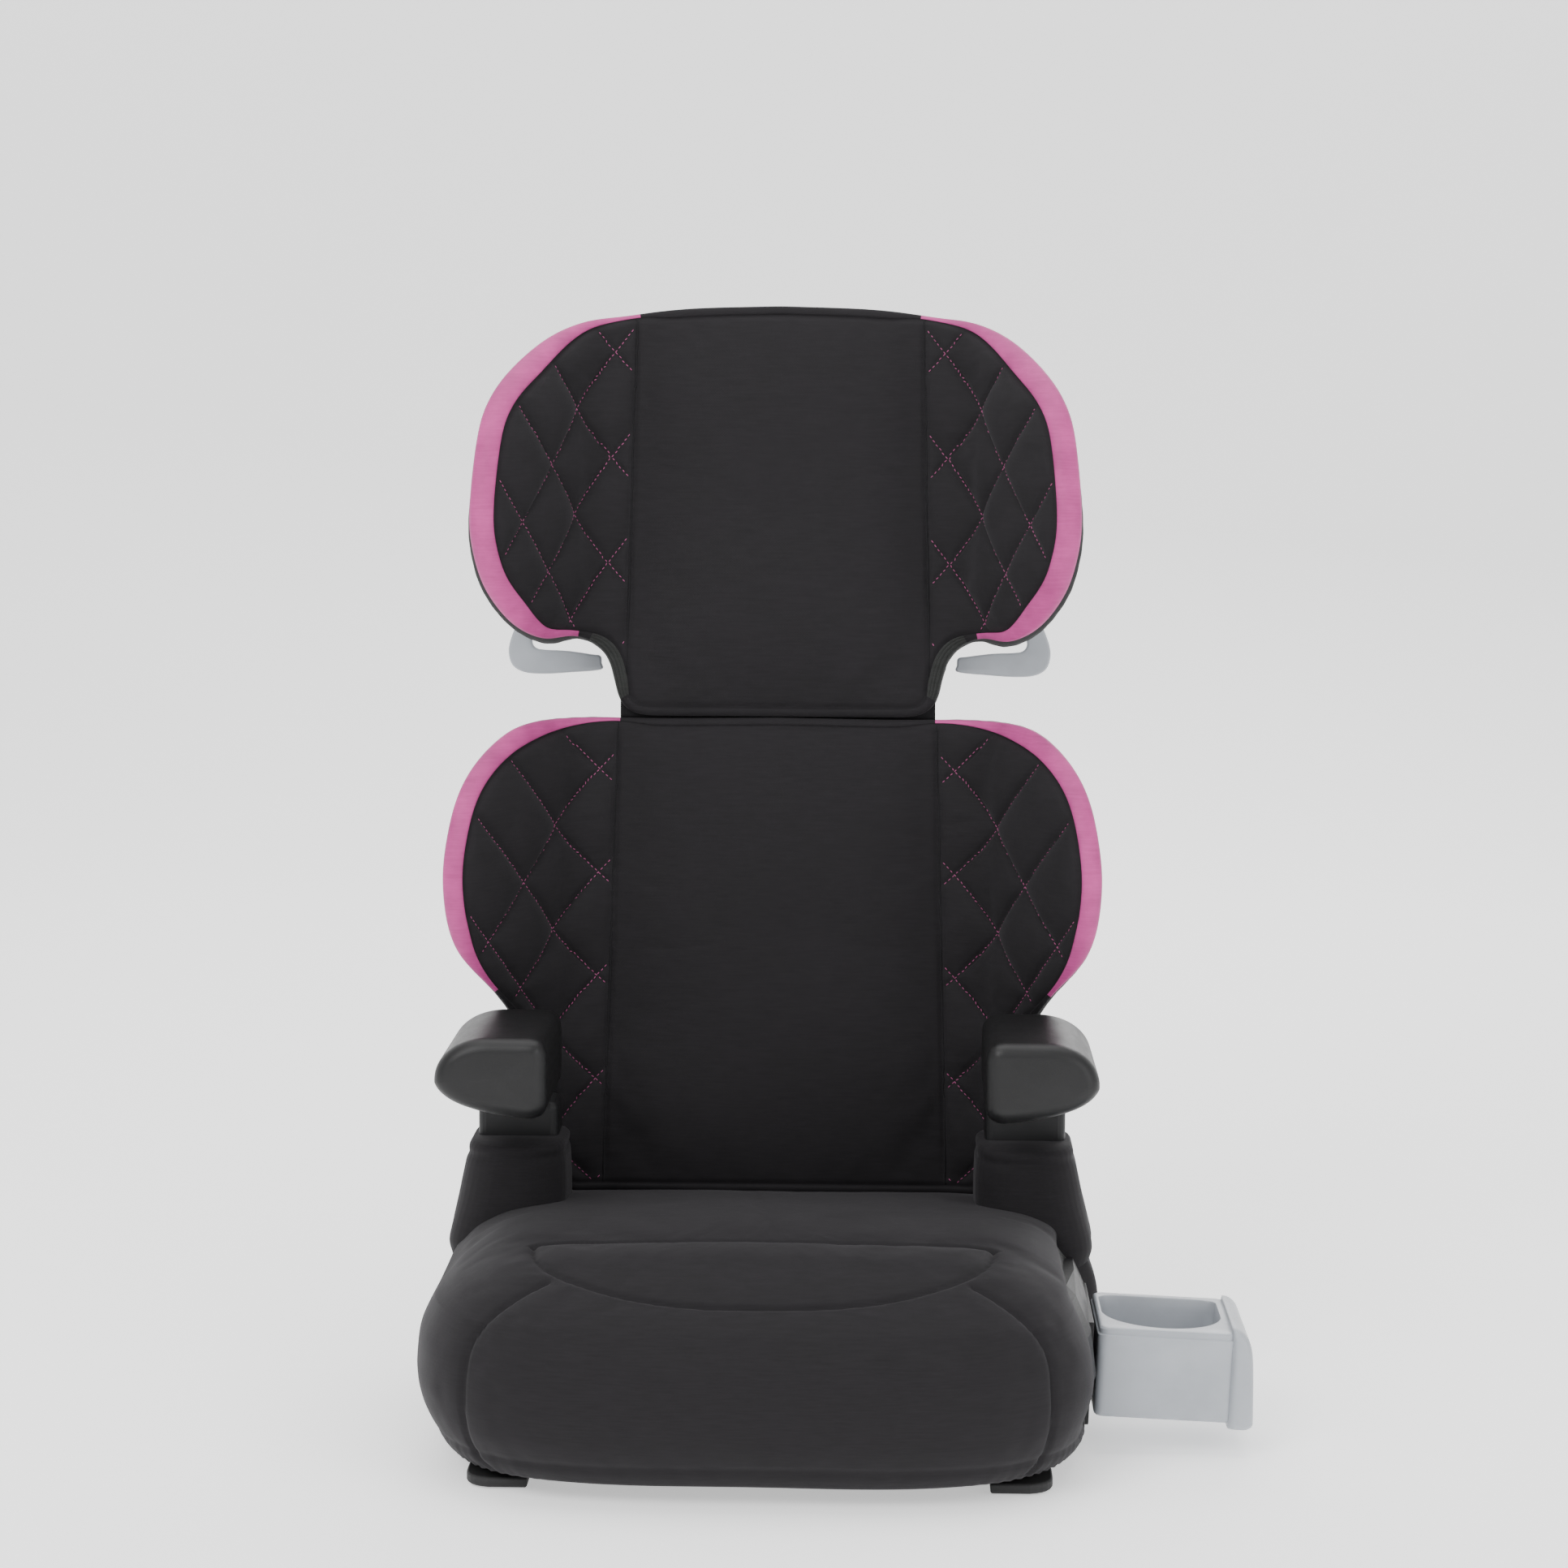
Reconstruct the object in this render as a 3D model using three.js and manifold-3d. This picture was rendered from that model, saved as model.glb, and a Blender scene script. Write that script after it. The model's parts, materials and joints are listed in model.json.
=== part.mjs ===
// High-back belt-positioning booster seat.
// Units are millimetres. +X is the seat's left-hand side seen from the front, -Y is the front, +Z is up.
// The origin is on the ground, under the middle of the base.
import * as THREE from 'three';
import { mergeVertices } from 'three/addons/utils/BufferGeometryUtils.js';
import { LoftGeometry } from 'three/addons/geometries/LoftGeometry.js';
import { RoundedBoxGeometry } from 'three/addons/geometries/RoundedBoxGeometry.js';
import Module from 'manifold-3d';

const wasm = await Module();
wasm.setup();

// ---- driving dimensions -------------------------------------------------------------------------

const GAP = 0.3;                    // clearance between pieces that rest on each other
const SKIN = 3;                     // fabric cover thickness, with its backing
const WALL = 4;                     // moulded wall thickness

// base
const BASE_HALF_WIDTH = 210;
const BASE_FRONT = -213;
const BASE_REAR = 146;
const HEM_Z = 11;                   // lower edge of the fabric cover
const SEAT_PADDING = 20;            // foam on top of the base shell
const POST = { inner: 136, outer: 187, front: 56, rear: 92, foot: 70, shoulder: 184, corner: 5 };
const UPRIGHT_INNER = 172;          // above its shoulder the post narrows to clear the back's wing
const BEAM = { inner: 150, front: -45, rear: 44, low: 212, high: 236 };
const ARM = { inner: 133, outer: 202, front: -60, rear: 52, low: 195, high: 245 };
const HIP = { inner: 129, outer: 192, front: 20, rear: 95.5, low: 88, high: 160 };
const FOOT = { inner: 135, outer: 172, depth: 36 };

// cup holder drawer
const DRAWER = { length: 86, front: -85, rear: 5, low: 23, high: 78, mouth: 200, droop: 2.5 };
const CUP_WELL_RADIUS = 36;
const END_CAP = { thickness: 15, overhang: 3 };

// back and headrest, in the back's own frame: its origin is the hinge axis, its Z runs up the back
const HINGE = { y: 160, z: 58, pin: 5 };
const LEAN = 6;                     // degrees from upright at rest
const FACE_Y = -48;                 // visible front surface of both centre panels
const FOAM_DEPTH = 17;
const SHELL_FRONT = SKIN + FOAM_DEPTH + 2 * GAP;
const BACK = { bottom: 50, top: 361, centre: 106, bend: 46, flare: 56, rim: 207 };
const HEAD = { bottom: 366, top: 630, centre: 96, bend: 44, flare: 56, rim: 193 };
const REAR_PLATE_Y = 2;             // front face of the back's rear plate
const CARRIAGE = { half: 58, front: -19, rear: -7, low: 90, high: 592 };
const LATCH_Z = 150;                // height of the latch bolt with the headrest lowest
const STEP = 57;                    // spacing of the headrest's four heights
const HEIGHTS = 4;
const RACK_CREST_Y = -4;

// ---- materials ----------------------------------------------------------------------------------

const finish = (color, roughness, metalness = 0) => ({ color, roughness, metalness });
const FABRIC = finish(0x26252a, 0.92);
const FOAM = finish(0xb9b4aa, 0.95);
const BLACK_PLASTIC = finish(0x1b1b1e, 0.55);
const GRAINED_PLASTIC = finish(0x2a2a2c, 0.5);
const GREY_PLASTIC = finish(0xadb2ba, 0.45);
const RUBBER = finish(0x151515, 0.85);
const STEEL = finish(0x8c9094, 0.35, 0.9);

// ---- solids from three.js geometry --------------------------------------------------------------

function solid(geometry) {
  const plain = new THREE.BufferGeometry();
  plain.setAttribute('position', geometry.attributes.position);
  plain.setIndex(geometry.index);
  const merged = mergeVertices(plain, 1e-4);
  return new wasm.Manifold(new wasm.Mesh({
    numProp: 3,
    vertProperties: Float32Array.from(merged.attributes.position.array),
    triVerts: Uint32Array.from(merged.index.array),
  }));
}

function geometryOf(manifold) {
  const mesh = manifold.getMesh();
  const geometry = new THREE.BufferGeometry();
  geometry.setAttribute('position', new THREE.BufferAttribute(Float32Array.from(mesh.vertProperties), 3));
  geometry.setIndex(new THREE.BufferAttribute(Uint32Array.from(mesh.triVerts), 1));
  geometry.computeVertexNormals();
  return geometry;
}

const joined = (...solids) => solids.reduce((whole, next) => whole.add(next));
const cut = (body, ...tools) => tools.reduce((rest, tool) => rest.subtract(tool), body);

function box(x0, x1, y0, y1, z0, z1) {
  const geometry = new THREE.BoxGeometry(x1 - x0, y1 - y0, z1 - z0);
  geometry.translate((x0 + x1) / 2, (y0 + y1) / 2, (z0 + z1) / 2);
  return solid(geometry);
}

function roundedBox(x0, x1, y0, y1, z0, z1, radius) {
  const geometry = new RoundedBoxGeometry(x1 - x0, y1 - y0, z1 - z0, 2, radius);
  geometry.translate((x0 + x1) / 2, (y0 + y1) / 2, (z0 + z1) / 2);
  return solid(geometry);
}

// an outline drawn in two axes and extruded along the third, from low to high
function prism(shape, along, low, high, bevel = 0) {
  const geometry = new THREE.ExtrudeGeometry(shape, {
    depth: high - low - 2 * bevel,
    bevelEnabled: bevel > 0,
    bevelSize: bevel,
    bevelThickness: bevel,
    bevelOffset: -bevel,
    bevelSegments: 2,
    curveSegments: 6,
  });
  geometry.translate(0, 0, low + bevel);
  const axes = {
    x: [new THREE.Vector3(0, 1, 0), new THREE.Vector3(0, 0, 1), new THREE.Vector3(1, 0, 0)],
    y: [new THREE.Vector3(1, 0, 0), new THREE.Vector3(0, 0, 1), new THREE.Vector3(0, -1, 0)],
    z: [new THREE.Vector3(1, 0, 0), new THREE.Vector3(0, 1, 0), new THREE.Vector3(0, 0, 1)],
  };
  if (along === 'y') geometry.translate(0, 0, -low - high);
  geometry.applyMatrix4(new THREE.Matrix4().makeBasis(...axes[along]));
  return solid(geometry);
}

function polygon(points) {
  return new THREE.Shape(points.map(([u, v]) => new THREE.Vector2(u, v)));
}

// rectangle with rounded corners, centred on the second axis
function roundedOutline(half, low, high, radius) {
  const outline = new THREE.Shape();
  outline.moveTo(half - radius, low);
  outline.quadraticCurveTo(half, low, half, low + radius);
  outline.lineTo(half, high - radius);
  outline.quadraticCurveTo(half, high, half - radius, high);
  outline.lineTo(radius - half, high);
  outline.quadraticCurveTo(-half, high, -half, high - radius);
  outline.lineTo(-half, low + radius);
  outline.quadraticCurveTo(-half, low, radius - half, low);
  return outline;
}

function rod(radius, along, low, high, u, v, sides = 16) {
  const circle = new THREE.Shape().absarc(u, v, radius, 0, 2 * Math.PI);
  const points = circle.getPoints(sides / 2).slice(0, -1);  // an arc gives two points per division
  return prism(new THREE.Shape(points), along, low, high);
}

// a smooth outline that mirrors its right half, given from the top down
function mirroredOutline(rightHalf, scaleX = 1, scaleZ = 1, centreZ = 0) {
  const curve = new THREE.SplineCurve(rightHalf.map(([x, z]) => new THREE.Vector2(x, z)));
  const points = curve.getPoints(26);
  const right = points.map((p) => new THREE.Vector2(p.x * scaleX, centreZ + (p.y - centreZ) * scaleZ));
  const left = right.slice(1, -1).reverse().map((p) => new THREE.Vector2(-p.x, p.y));
  return new THREE.Shape([...right, ...left]);
}

// ---- placing the pieces -------------------------------------------------------------------------

const seat = new THREE.Group();
const backFrame = new THREE.Group();
backFrame.position.set(0, HINGE.y, HINGE.z);
backFrame.rotation.x = -THREE.MathUtils.degToRad(LEAN);
const drawerFrame = new THREE.Group();
drawerFrame.position.set(DRAWER.mouth, 0, 0);
drawerFrame.rotation.y = THREE.MathUtils.degToRad(DRAWER.droop);
seat.add(backFrame, drawerFrame);

function place(parent, name, body, material) {
  const mesh = new THREE.Mesh(geometryOf(body), new THREE.MeshStandardMaterial(material));
  mesh.name = name;
  parent.add(mesh);
}

const SIDES = [{ name: 'left', sign: -1 }, { name: 'right', sign: 1 }];
const mirrorX = (body, sign) => (sign < 0 ? body.mirror([1, 0, 0]) : body);

// moves a solid from the drawer's tilted frame into the seat's frame
const DRAWER_MATRIX = new THREE.Matrix4().makeRotationY(THREE.MathUtils.degToRad(DRAWER.droop));
DRAWER_MATRIX.setPosition(DRAWER.mouth, 0, 0);
const fromDrawer = (body) => body.transform(DRAWER_MATRIX.elements);

// ---- screws -------------------------------------------------------------------------------------

const SCREW = { head: 3.5, headHeight: 2.4, shank: 1.7, long: 12, middle: 10.5, short: 8.8 };

// head on the positive side of the axis, bearing on the plane at `seatAt`; `sign` turns it over
function screw(along, u, v, seatAt, sign, length = SCREW.long) {
  const tip = seatAt - sign * length;
  const top = seatAt + sign * SCREW.headHeight;
  const root = seatAt + sign;         // the shank's root is buried in the head
  const shank = rod(SCREW.shank, along, Math.min(tip, root), Math.max(tip, root), u, v, 8);
  const head = rod(SCREW.head, along, Math.min(seatAt, top), Math.max(seatAt, top), u, v, 12);
  return shank.add(head);
}

function screwHole(along, u, v, seatAt, sign, length = SCREW.long) {
  const tip = seatAt - sign * (length + GAP);
  return rod(SCREW.shank + GAP, along, Math.min(tip, seatAt), Math.max(tip, seatAt), u, v, 8);
}

// ---- base form ----------------------------------------------------------------------------------

// half-width and front edge of the base at each height
const BASE_LEVELS = [
  { z: 11, half: 190, front: -196 },
  { z: 30, half: 203, front: -208 },
  { z: 55, half: BASE_HALF_WIDTH, front: BASE_FRONT },
  { z: 80, half: 207, front: -209 },
  { z: 100, half: 198, front: -197 },
  { z: 112, half: 184, front: -181 },
  { z: 122, half: 160, front: -155 },
  { z: 132, half: 130, front: -110 },
];

function baseSection(half, front, rear, z) {
  const count = 32;
  const frontCorner = 3.8;          // superellipse exponents: the plan is soft in front, squarer behind
  const rearCorner = 7;
  const middle = (front + rear) / 2;
  const depth = (rear - front) / 2;
  const bulge = (t, power) => Math.sign(t) * Math.abs(t) ** power;
  return Array.from({ length: count }, (_, i) => {
    const angle = (2 * Math.PI * i) / count;
    const corner = Math.sin(angle) > 0 ? rearCorner : frontCorner;
    const x = half * bulge(Math.cos(angle), 2 / corner);
    const y = middle + depth * bulge(Math.sin(angle), 2 / corner);
    return new THREE.Vector3(x, y, z);
  });
}

// side view of the seat's top: crest at the front, then a ridge, then down to the back
function seatProfile(drop) {
  return polygon([
    [-240, -20], [-240, 96 - drop], [-205, 98 - drop], [-160, 119 - drop], [-95, 129 - drop],
    [0, 121 - drop], [110, 109 - drop], [200, 106 - drop], [200, -20],
  ]);
}

// the base's outer form, drawn in by `inset` on its sides and by `drop` from the top
function baseForm(inset, drop, low) {
  const first = { ...BASE_LEVELS[0], z: low };
  const above = BASE_LEVELS.slice(low < HEM_Z ? 0 : 1).filter((level) => level.z > low);
  const levels = [first, ...above];
  const sections = levels.map((level) => (
    baseSection(level.half - inset, level.front + inset, BASE_REAR - inset, level.z)
  ));
  const form = solid(new LoftGeometry(sections, { capStart: true, capEnd: true }));
  return form.intersect(prism(seatProfile(drop), 'x', -240, 240));
}

// ---- base ---------------------------------------------------------------------------------------

const SHELL_INSET = 9;
const SHELL_DROP = SKIN + SEAT_PADDING + 2 * GAP;
const UNDERPAN = { low: 6.5, high: 9.5, half: 168, front: -176, rear: 128, skid: 90, skidDepth: 110 };
const UNDERPAN_SCREWS = [[-110, -150], [110, -150], [-120, 100], [120, 100]];
const CHANNEL = { wall: 3, inner: -102, low: DRAWER.low - 1 - 3, high: DRAWER.high + 1 + 3, ear: 12 };
const CHANNEL_SCREWS = [-78, -26].flatMap(
  (x) => [DRAWER.front - 10, DRAWER.rear + 10].map((y) => [x, y]),
);
const LUGS = [{ near: 58, far: 66 }, { near: 84, far: 92 }];

const TUNNEL_MARGIN = 5.5;          // the soft pieces stay this far from the drawer

// room for the hinge lugs and the back's hooks
const hingeRoom = () => box(-105, 105, BASE_REAR - 20, BASE_REAR + 5, 0, HINGE.z + 24);

function drawerTunnel(margin) {
  const { front, rear, low, high } = DRAWER;
  return fromDrawer(box(-115, 40, front - margin, rear + margin, low - margin, high + margin));
}

function armPost() {
  const { inner, outer, front, rear, shoulder, corner } = POST;
  const post = roundedBox(inner, outer, front, rear, POST.foot, shoulder, corner);
  const upright = roundedBox(UPRIGHT_INNER, outer, front, rear, POST.foot, BEAM.high, corner);
  const arm = roundedBox(UPRIGHT_INNER, outer, BEAM.rear - 12, rear, BEAM.low, BEAM.high, corner);
  const beam = roundedBox(BEAM.inner, outer, BEAM.front, BEAM.rear, BEAM.low, BEAM.high, corner);
  return joined(post, upright, arm, beam);
}

function baseShell() {
  const inner = baseForm(SHELL_INSET + WALL, SHELL_DROP + WALL, 0);
  const midWall = baseForm(SHELL_INSET + WALL / 2, SHELL_DROP + WALL / 2, 0);
  let shell = baseForm(SHELL_INSET, SHELL_DROP, 12).subtract(inner);
  const ribs = joined(
    box(-2, 2, -200, 140, 40, 110),
    box(-80, -76, -200, 140, 40, 110),
    box(76, 80, -200, 140, 40, 110),
    box(-195, 80, -62, -58, 40, 110),
    box(-195, 80, 58, 62, 40, 110),
  ).intersect(midWall);
  shell = shell.add(ribs);
  for (const { sign } of SIDES) {
    shell = shell.add(mirrorX(armPost(), sign));
    for (const lug of LUGS) {
      const plate = box(
        lug.near, lug.far, BASE_REAR - SHELL_INSET - 2, HINGE.y + 9, HINGE.z - 12, HINGE.z + 12,
      );
      shell = shell.add(mirrorX(plate, sign));
    }
    const pinHole = rod(HINGE.pin + GAP, 'x', LUGS[0].near - 1, LUGS[1].far + 1, HINGE.y, HINGE.z, 20);
    shell = shell.subtract(mirrorX(pinHole, sign));
    shell = shell.subtract(mirrorX(screwHole('z', ...ARM_SCREW_AT, BEAM.low - WALL, -1), sign));
  }
  for (const [x, y] of UNDERPAN_SCREWS) {
    shell = shell.add(rod(6, 'z', UNDERPAN.high + GAP, 120, x, y).intersect(midWall));
    shell = shell.subtract(screwHole('z', x, y, UNDERPAN.low, -1));
  }
  for (const [x, y] of CHANNEL_SCREWS) {
    const boss = rod(6, 'z', CHANNEL.high + GAP, 120, x, y);
    shell = shell.add(fromDrawer(boss).intersect(midWall));
    shell = shell.subtract(fromDrawer(screwHole('z', x, y, CHANNEL.high - CHANNEL.wall, -1)));
  }
  const channelRoom = fromDrawer(box(
    CHANNEL.inner - 1, 60,
    DRAWER.front - 4 - GAP, DRAWER.rear + 4 + GAP,
    CHANNEL.low - GAP, CHANNEL.high + GAP,
  ));
  return shell.subtract(channelRoom);
}

function baseUnderpan() {
  const sheet = solid(new LoftGeometry([
    baseSection(UNDERPAN.half, UNDERPAN.front, UNDERPAN.rear, UNDERPAN.low),
    baseSection(UNDERPAN.half, UNDERPAN.front, UNDERPAN.rear, UNDERPAN.high),
  ], { capStart: true, capEnd: true }));
  const { skid, skidDepth } = UNDERPAN;
  const skidPan = box(-skid, skid, -skidDepth, skidDepth, 0, UNDERPAN.high);
  const hollow = box(-skid + WALL, skid - WALL, -skidDepth + WALL, skidDepth - WALL, WALL, 20);
  const holes = UNDERPAN_SCREWS.map(([x, y]) => screwHole('z', x, y, UNDERPAN.low - 0.5, -1));
  return cut(sheet.add(skidPan), hollow, ...holes);
}

function foot(front) {
  const outline = new THREE.Shape();
  outline.moveTo(FOOT.inner, front);
  outline.lineTo(FOOT.outer - 14, front);
  outline.quadraticCurveTo(FOOT.outer, front + 3, FOOT.outer, front + 18);
  outline.lineTo(FOOT.outer, front + FOOT.depth);
  outline.lineTo(FOOT.inner, front + FOOT.depth);
  return prism(outline, 'z', 0, UNDERPAN.low - GAP, 1.2);
}

const ARM_SCREW_AT = [(BEAM.inner + POST.outer) / 2, 10];

// the arm's section: flat on top, rounded outside, undercut towards its inner lower edge
function armSection(inset) {
  const inner = ARM.inner + inset;
  const outer = ARM.outer - inset;
  const low = ARM.low + inset;
  const high = ARM.high - inset;
  const section = new THREE.Shape();
  const corner = 12;
  section.moveTo(inner + corner, low);
  section.bezierCurveTo(inner + 30, low + 2, outer - 6, low + 6, outer, low + 22);
  section.bezierCurveTo(outer + 1, high - 12, outer - 14, high, outer - 34, high);
  section.lineTo(inner + corner, high);
  section.quadraticCurveTo(inner, high, inner, high - corner);
  section.lineTo(inner, low + corner);
  section.quadraticCurveTo(inner, low, inner + corner, low);
  return section;
}

function armCap() {
  const body = prism(armSection(0), 'y', ARM.front, ARM.rear, 5);
  const beamRoom = box(
    BEAM.inner - GAP, POST.outer + GAP, BEAM.front - GAP, 200, BEAM.low - GAP, BEAM.high + GAP,
  );
  const [x, y] = ARM_SCREW_AT;
  const headRoom = rod(SCREW.head + GAP, 'z', 150, BEAM.low - WALL, x, y, 12);
  return cut(body, beamRoom, headRoom, screwHole('z', x, y, BEAM.low - WALL, -1));
}

// room that the soft pieces leave around an arm post
const POST_FIT = 0.5;
const postRoom = () => box(
  POST.inner - POST_FIT, POST.outer + POST_FIT, POST.front - POST_FIT, POST.rear + POST_FIT, 50, 300,
);

// padded sleeve of the cover around an arm post
function hipPad() {
  const pad = roundedBox(HIP.inner, HIP.outer, HIP.front, HIP.rear, HIP.low, HIP.high, 15);
  return cut(pad, baseForm(-GAP, -GAP, 0), postRoom());
}

function seatCover() {
  const cover = baseForm(0, 0, HEM_Z).subtract(baseForm(SKIN, SKIN, 0));
  const posts = SIDES.map(({ sign }) => mirrorX(postRoom(), sign));
  return cut(cover, ...posts, drawerTunnel(TUNNEL_MARGIN), hingeRoom());
}

function seatFoam() {
  const shell = baseForm(SHELL_INSET - GAP, SHELL_DROP - GAP, 0);
  const foam = baseForm(SKIN + GAP, SKIN + GAP, 60).subtract(shell);
  const posts = SIDES.map(({ sign }) => mirrorX(postRoom(), sign));
  return cut(foam, ...posts, drawerTunnel(TUNNEL_MARGIN), hingeRoom());
}

function hingePin() {
  const shaft = rod(HINGE.pin, 'x', LUGS[0].near - 3, LUGS[1].far, HINGE.y, HINGE.z, 20);
  const head = rod(HINGE.pin + 2.5, 'x', LUGS[1].far + GAP, LUGS[1].far + 3, HINGE.y, HINGE.z, 20);
  const stub = rod(HINGE.pin, 'x', LUGS[1].far - 1, LUGS[1].far + 1, HINGE.y, HINGE.z, 20);
  return joined(shaft, stub, head);
}

// ---- drawer, in its own tilted frame: X = 0 is the mouth in the base's side ------------------------

const CHANNEL_END = -5;             // the channel stops inside the cover

function drawerChannel() {
  const { wall, inner, low, high, ear } = CHANNEL;
  const tube = box(inner, CHANNEL_END, DRAWER.front - 1 - wall, DRAWER.rear + 1 + wall, low, high);
  const ears = box(inner, -14, DRAWER.front - 4 - ear, DRAWER.rear + 4 + ear, high - wall, high);
  const run = box(inner + wall, 10, DRAWER.front - 1, DRAWER.rear + 1, low + wall, high - wall);
  const holes = CHANNEL_SCREWS.map(([x, y]) => screwHole('z', x, y, high - wall - 0.5, -1));
  return cut(tube.add(ears), run, ...holes);
}

// drawn out at rest, with its inner end just inside the mouth
function cupHolder() {
  const start = -2;
  const end = start + DRAWER.length;
  const middleY = (DRAWER.front + DRAWER.rear) / 2;
  const tray = roundedBox(start, end, DRAWER.front, DRAWER.rear, DRAWER.low, DRAWER.high, 2.5);
  const { overhang, thickness } = END_CAP;
  const cap = roundedBox(
    end - 5, end + thickness - 5,
    DRAWER.front - overhang, DRAWER.rear + overhang, DRAWER.low - overhang, DRAWER.high + overhang, 5,
  );
  const well = rod(CUP_WELL_RADIUS, 'z', DRAWER.low + 3, 100, (start + end - 5) / 2, middleY, 36);
  return tray.add(cap).subtract(well);
}

// ---- back and headrest forms, in the back's frame ---------------------------------------------------

// plan view of a winged panel: a flat centre, a bend, then straight flared wings.
// `depth` is measured rearwards from the visible face.
function troughLine(spec, depth) {
  const flare = THREE.MathUtils.degToRad(spec.flare);
  const radius = spec.bend + depth;
  const steps = 7;
  const right = [];
  for (let i = 0; i <= steps; i += 1) {
    const angle = (flare * i) / steps;
    right.push([spec.centre + radius * Math.sin(angle), FACE_Y - spec.bend + radius * Math.cos(angle)]);
  }
  const [lastX, lastY] = right.at(-1);
  const reach = 150;
  right.push([lastX + reach * Math.cos(flare), lastY - reach * Math.sin(flare)]);
  return [...right.map(([x, y]) => [-x, y]).reverse(), ...right];
}

// a sheet between two depths that follows the winged panel
function trough(spec, nearDepth, farDepth, low, high) {
  const near = troughLine(spec, nearDepth);
  const far = troughLine(spec, farDepth);
  return prism(polygon([...near, ...far.reverse()]), 'z', low, high);
}

// front views, right half, from the top down: [x, height along the back]
const BACK_OUTLINE = [
  [0, BACK.top], [70, BACK.top - 1], [130, BACK.top - 1], [162, BACK.top - 6], [181, BACK.top - 20],
  [196, BACK.top - 43], [204, BACK.top - 72], [BACK.rim, BACK.top - 109], [200, BACK.top - 147],
  [176, BACK.top - 178], [162, BACK.top - 203], [151, BACK.top - 235], [146, BACK.bottom + 40],
  [144, BACK.bottom + 8], [134, BACK.bottom], [0, BACK.bottom],
];
const HEAD_OUTLINE = [
  [0, HEAD.top], [60, HEAD.top - 2], [101, HEAD.top - 7], [127, HEAD.top - 12], [149, HEAD.top - 25],
  [168, HEAD.top - 45], [182, HEAD.top - 68], [189, HEAD.top - 94], [HEAD.rim, HEAD.top - 145],
  [189, HEAD.top - 175], [181, HEAD.top - 195], [167, HEAD.top - 212], [149, HEAD.top - 220],
  [130, HEAD.top - 217], [112, HEAD.top - 230], [106, HEAD.top - 252],
  [96, HEAD.bottom], [0, HEAD.bottom],
];

// a sheet of the panel cut to its front view, which is drawn in by `inset`
function wingedSheet(spec, outline, nearDepth, farDepth, inset) {
  const middle = (spec.top + spec.bottom) / 2;
  const scaleX = 1 - inset / spec.rim;
  const scaleZ = 1 - (2 * inset) / (spec.top - spec.bottom);
  const frontView = prism(mirroredOutline(outline, scaleX, scaleZ, middle), 'y', -260, 20);
  return trough(spec, nearDepth, farDepth, spec.bottom - 5, spec.top + 5).intersect(frontView);
}

const COVER_HEM = 24;               // the cover turns over the shell's rim to this depth

// the cover: a front sheet with an edge that turns back over the foam and the shell
function wingedCover(spec, outline) {
  const whole = wingedSheet(spec, outline, 0, COVER_HEM, 0);
  const room = wingedSheet(spec, outline, SKIN, COVER_HEM + 5, SKIN + 1);
  return whole.subtract(room);
}

function foamPieces(spec, outline) {
  const sheet = wingedSheet(spec, outline, SKIN + GAP, SKIN + GAP + FOAM_DEPTH, 6);
  const split = spec.centre + 4;
  const centre = sheet.intersect(box(-split, split, -260, 20, 0, 700));
  const wing = (sign) => sheet.intersect(mirrorX(box(split + 1, 260, -260, 20, 0, 700), sign));
  return { centre, wing };
}

const wingedShell = (spec, outline) => wingedSheet(spec, outline, SHELL_FRONT, SHELL_FRONT + WALL, 8);
const SHELL_REAR_Y = FACE_Y + SHELL_FRONT + WALL;

// ---- back ---------------------------------------------------------------------------------------

const PLATE = { half: 112, low: 22, high: BACK.top - 10 };
const PLATE_SCREWS = [-1, 1].flatMap((side) => [90, PLATE.high - 24].map((z) => [side * 92, z]));
const PLATE_RECESS = 2.6;           // the rear plate's screw heads lie below its rear face
const CARRIAGE_SCREWS = [-1, 1].flatMap((side) => [395, 560].map((z) => [side * 30, z]));

function backShell() {
  const posts = PLATE_SCREWS.map(([x, z]) => rod(6, 'y', SHELL_REAR_Y - 1, REAR_PLATE_Y - GAP, x, z));
  const holes = PLATE_SCREWS.map(([x, z]) => screwHole('y', x, z, REAR_PLATE_Y + WALL, 1));
  return cut(joined(wingedShell(BACK, BACK_OUTLINE), ...posts), ...holes);
}

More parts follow.
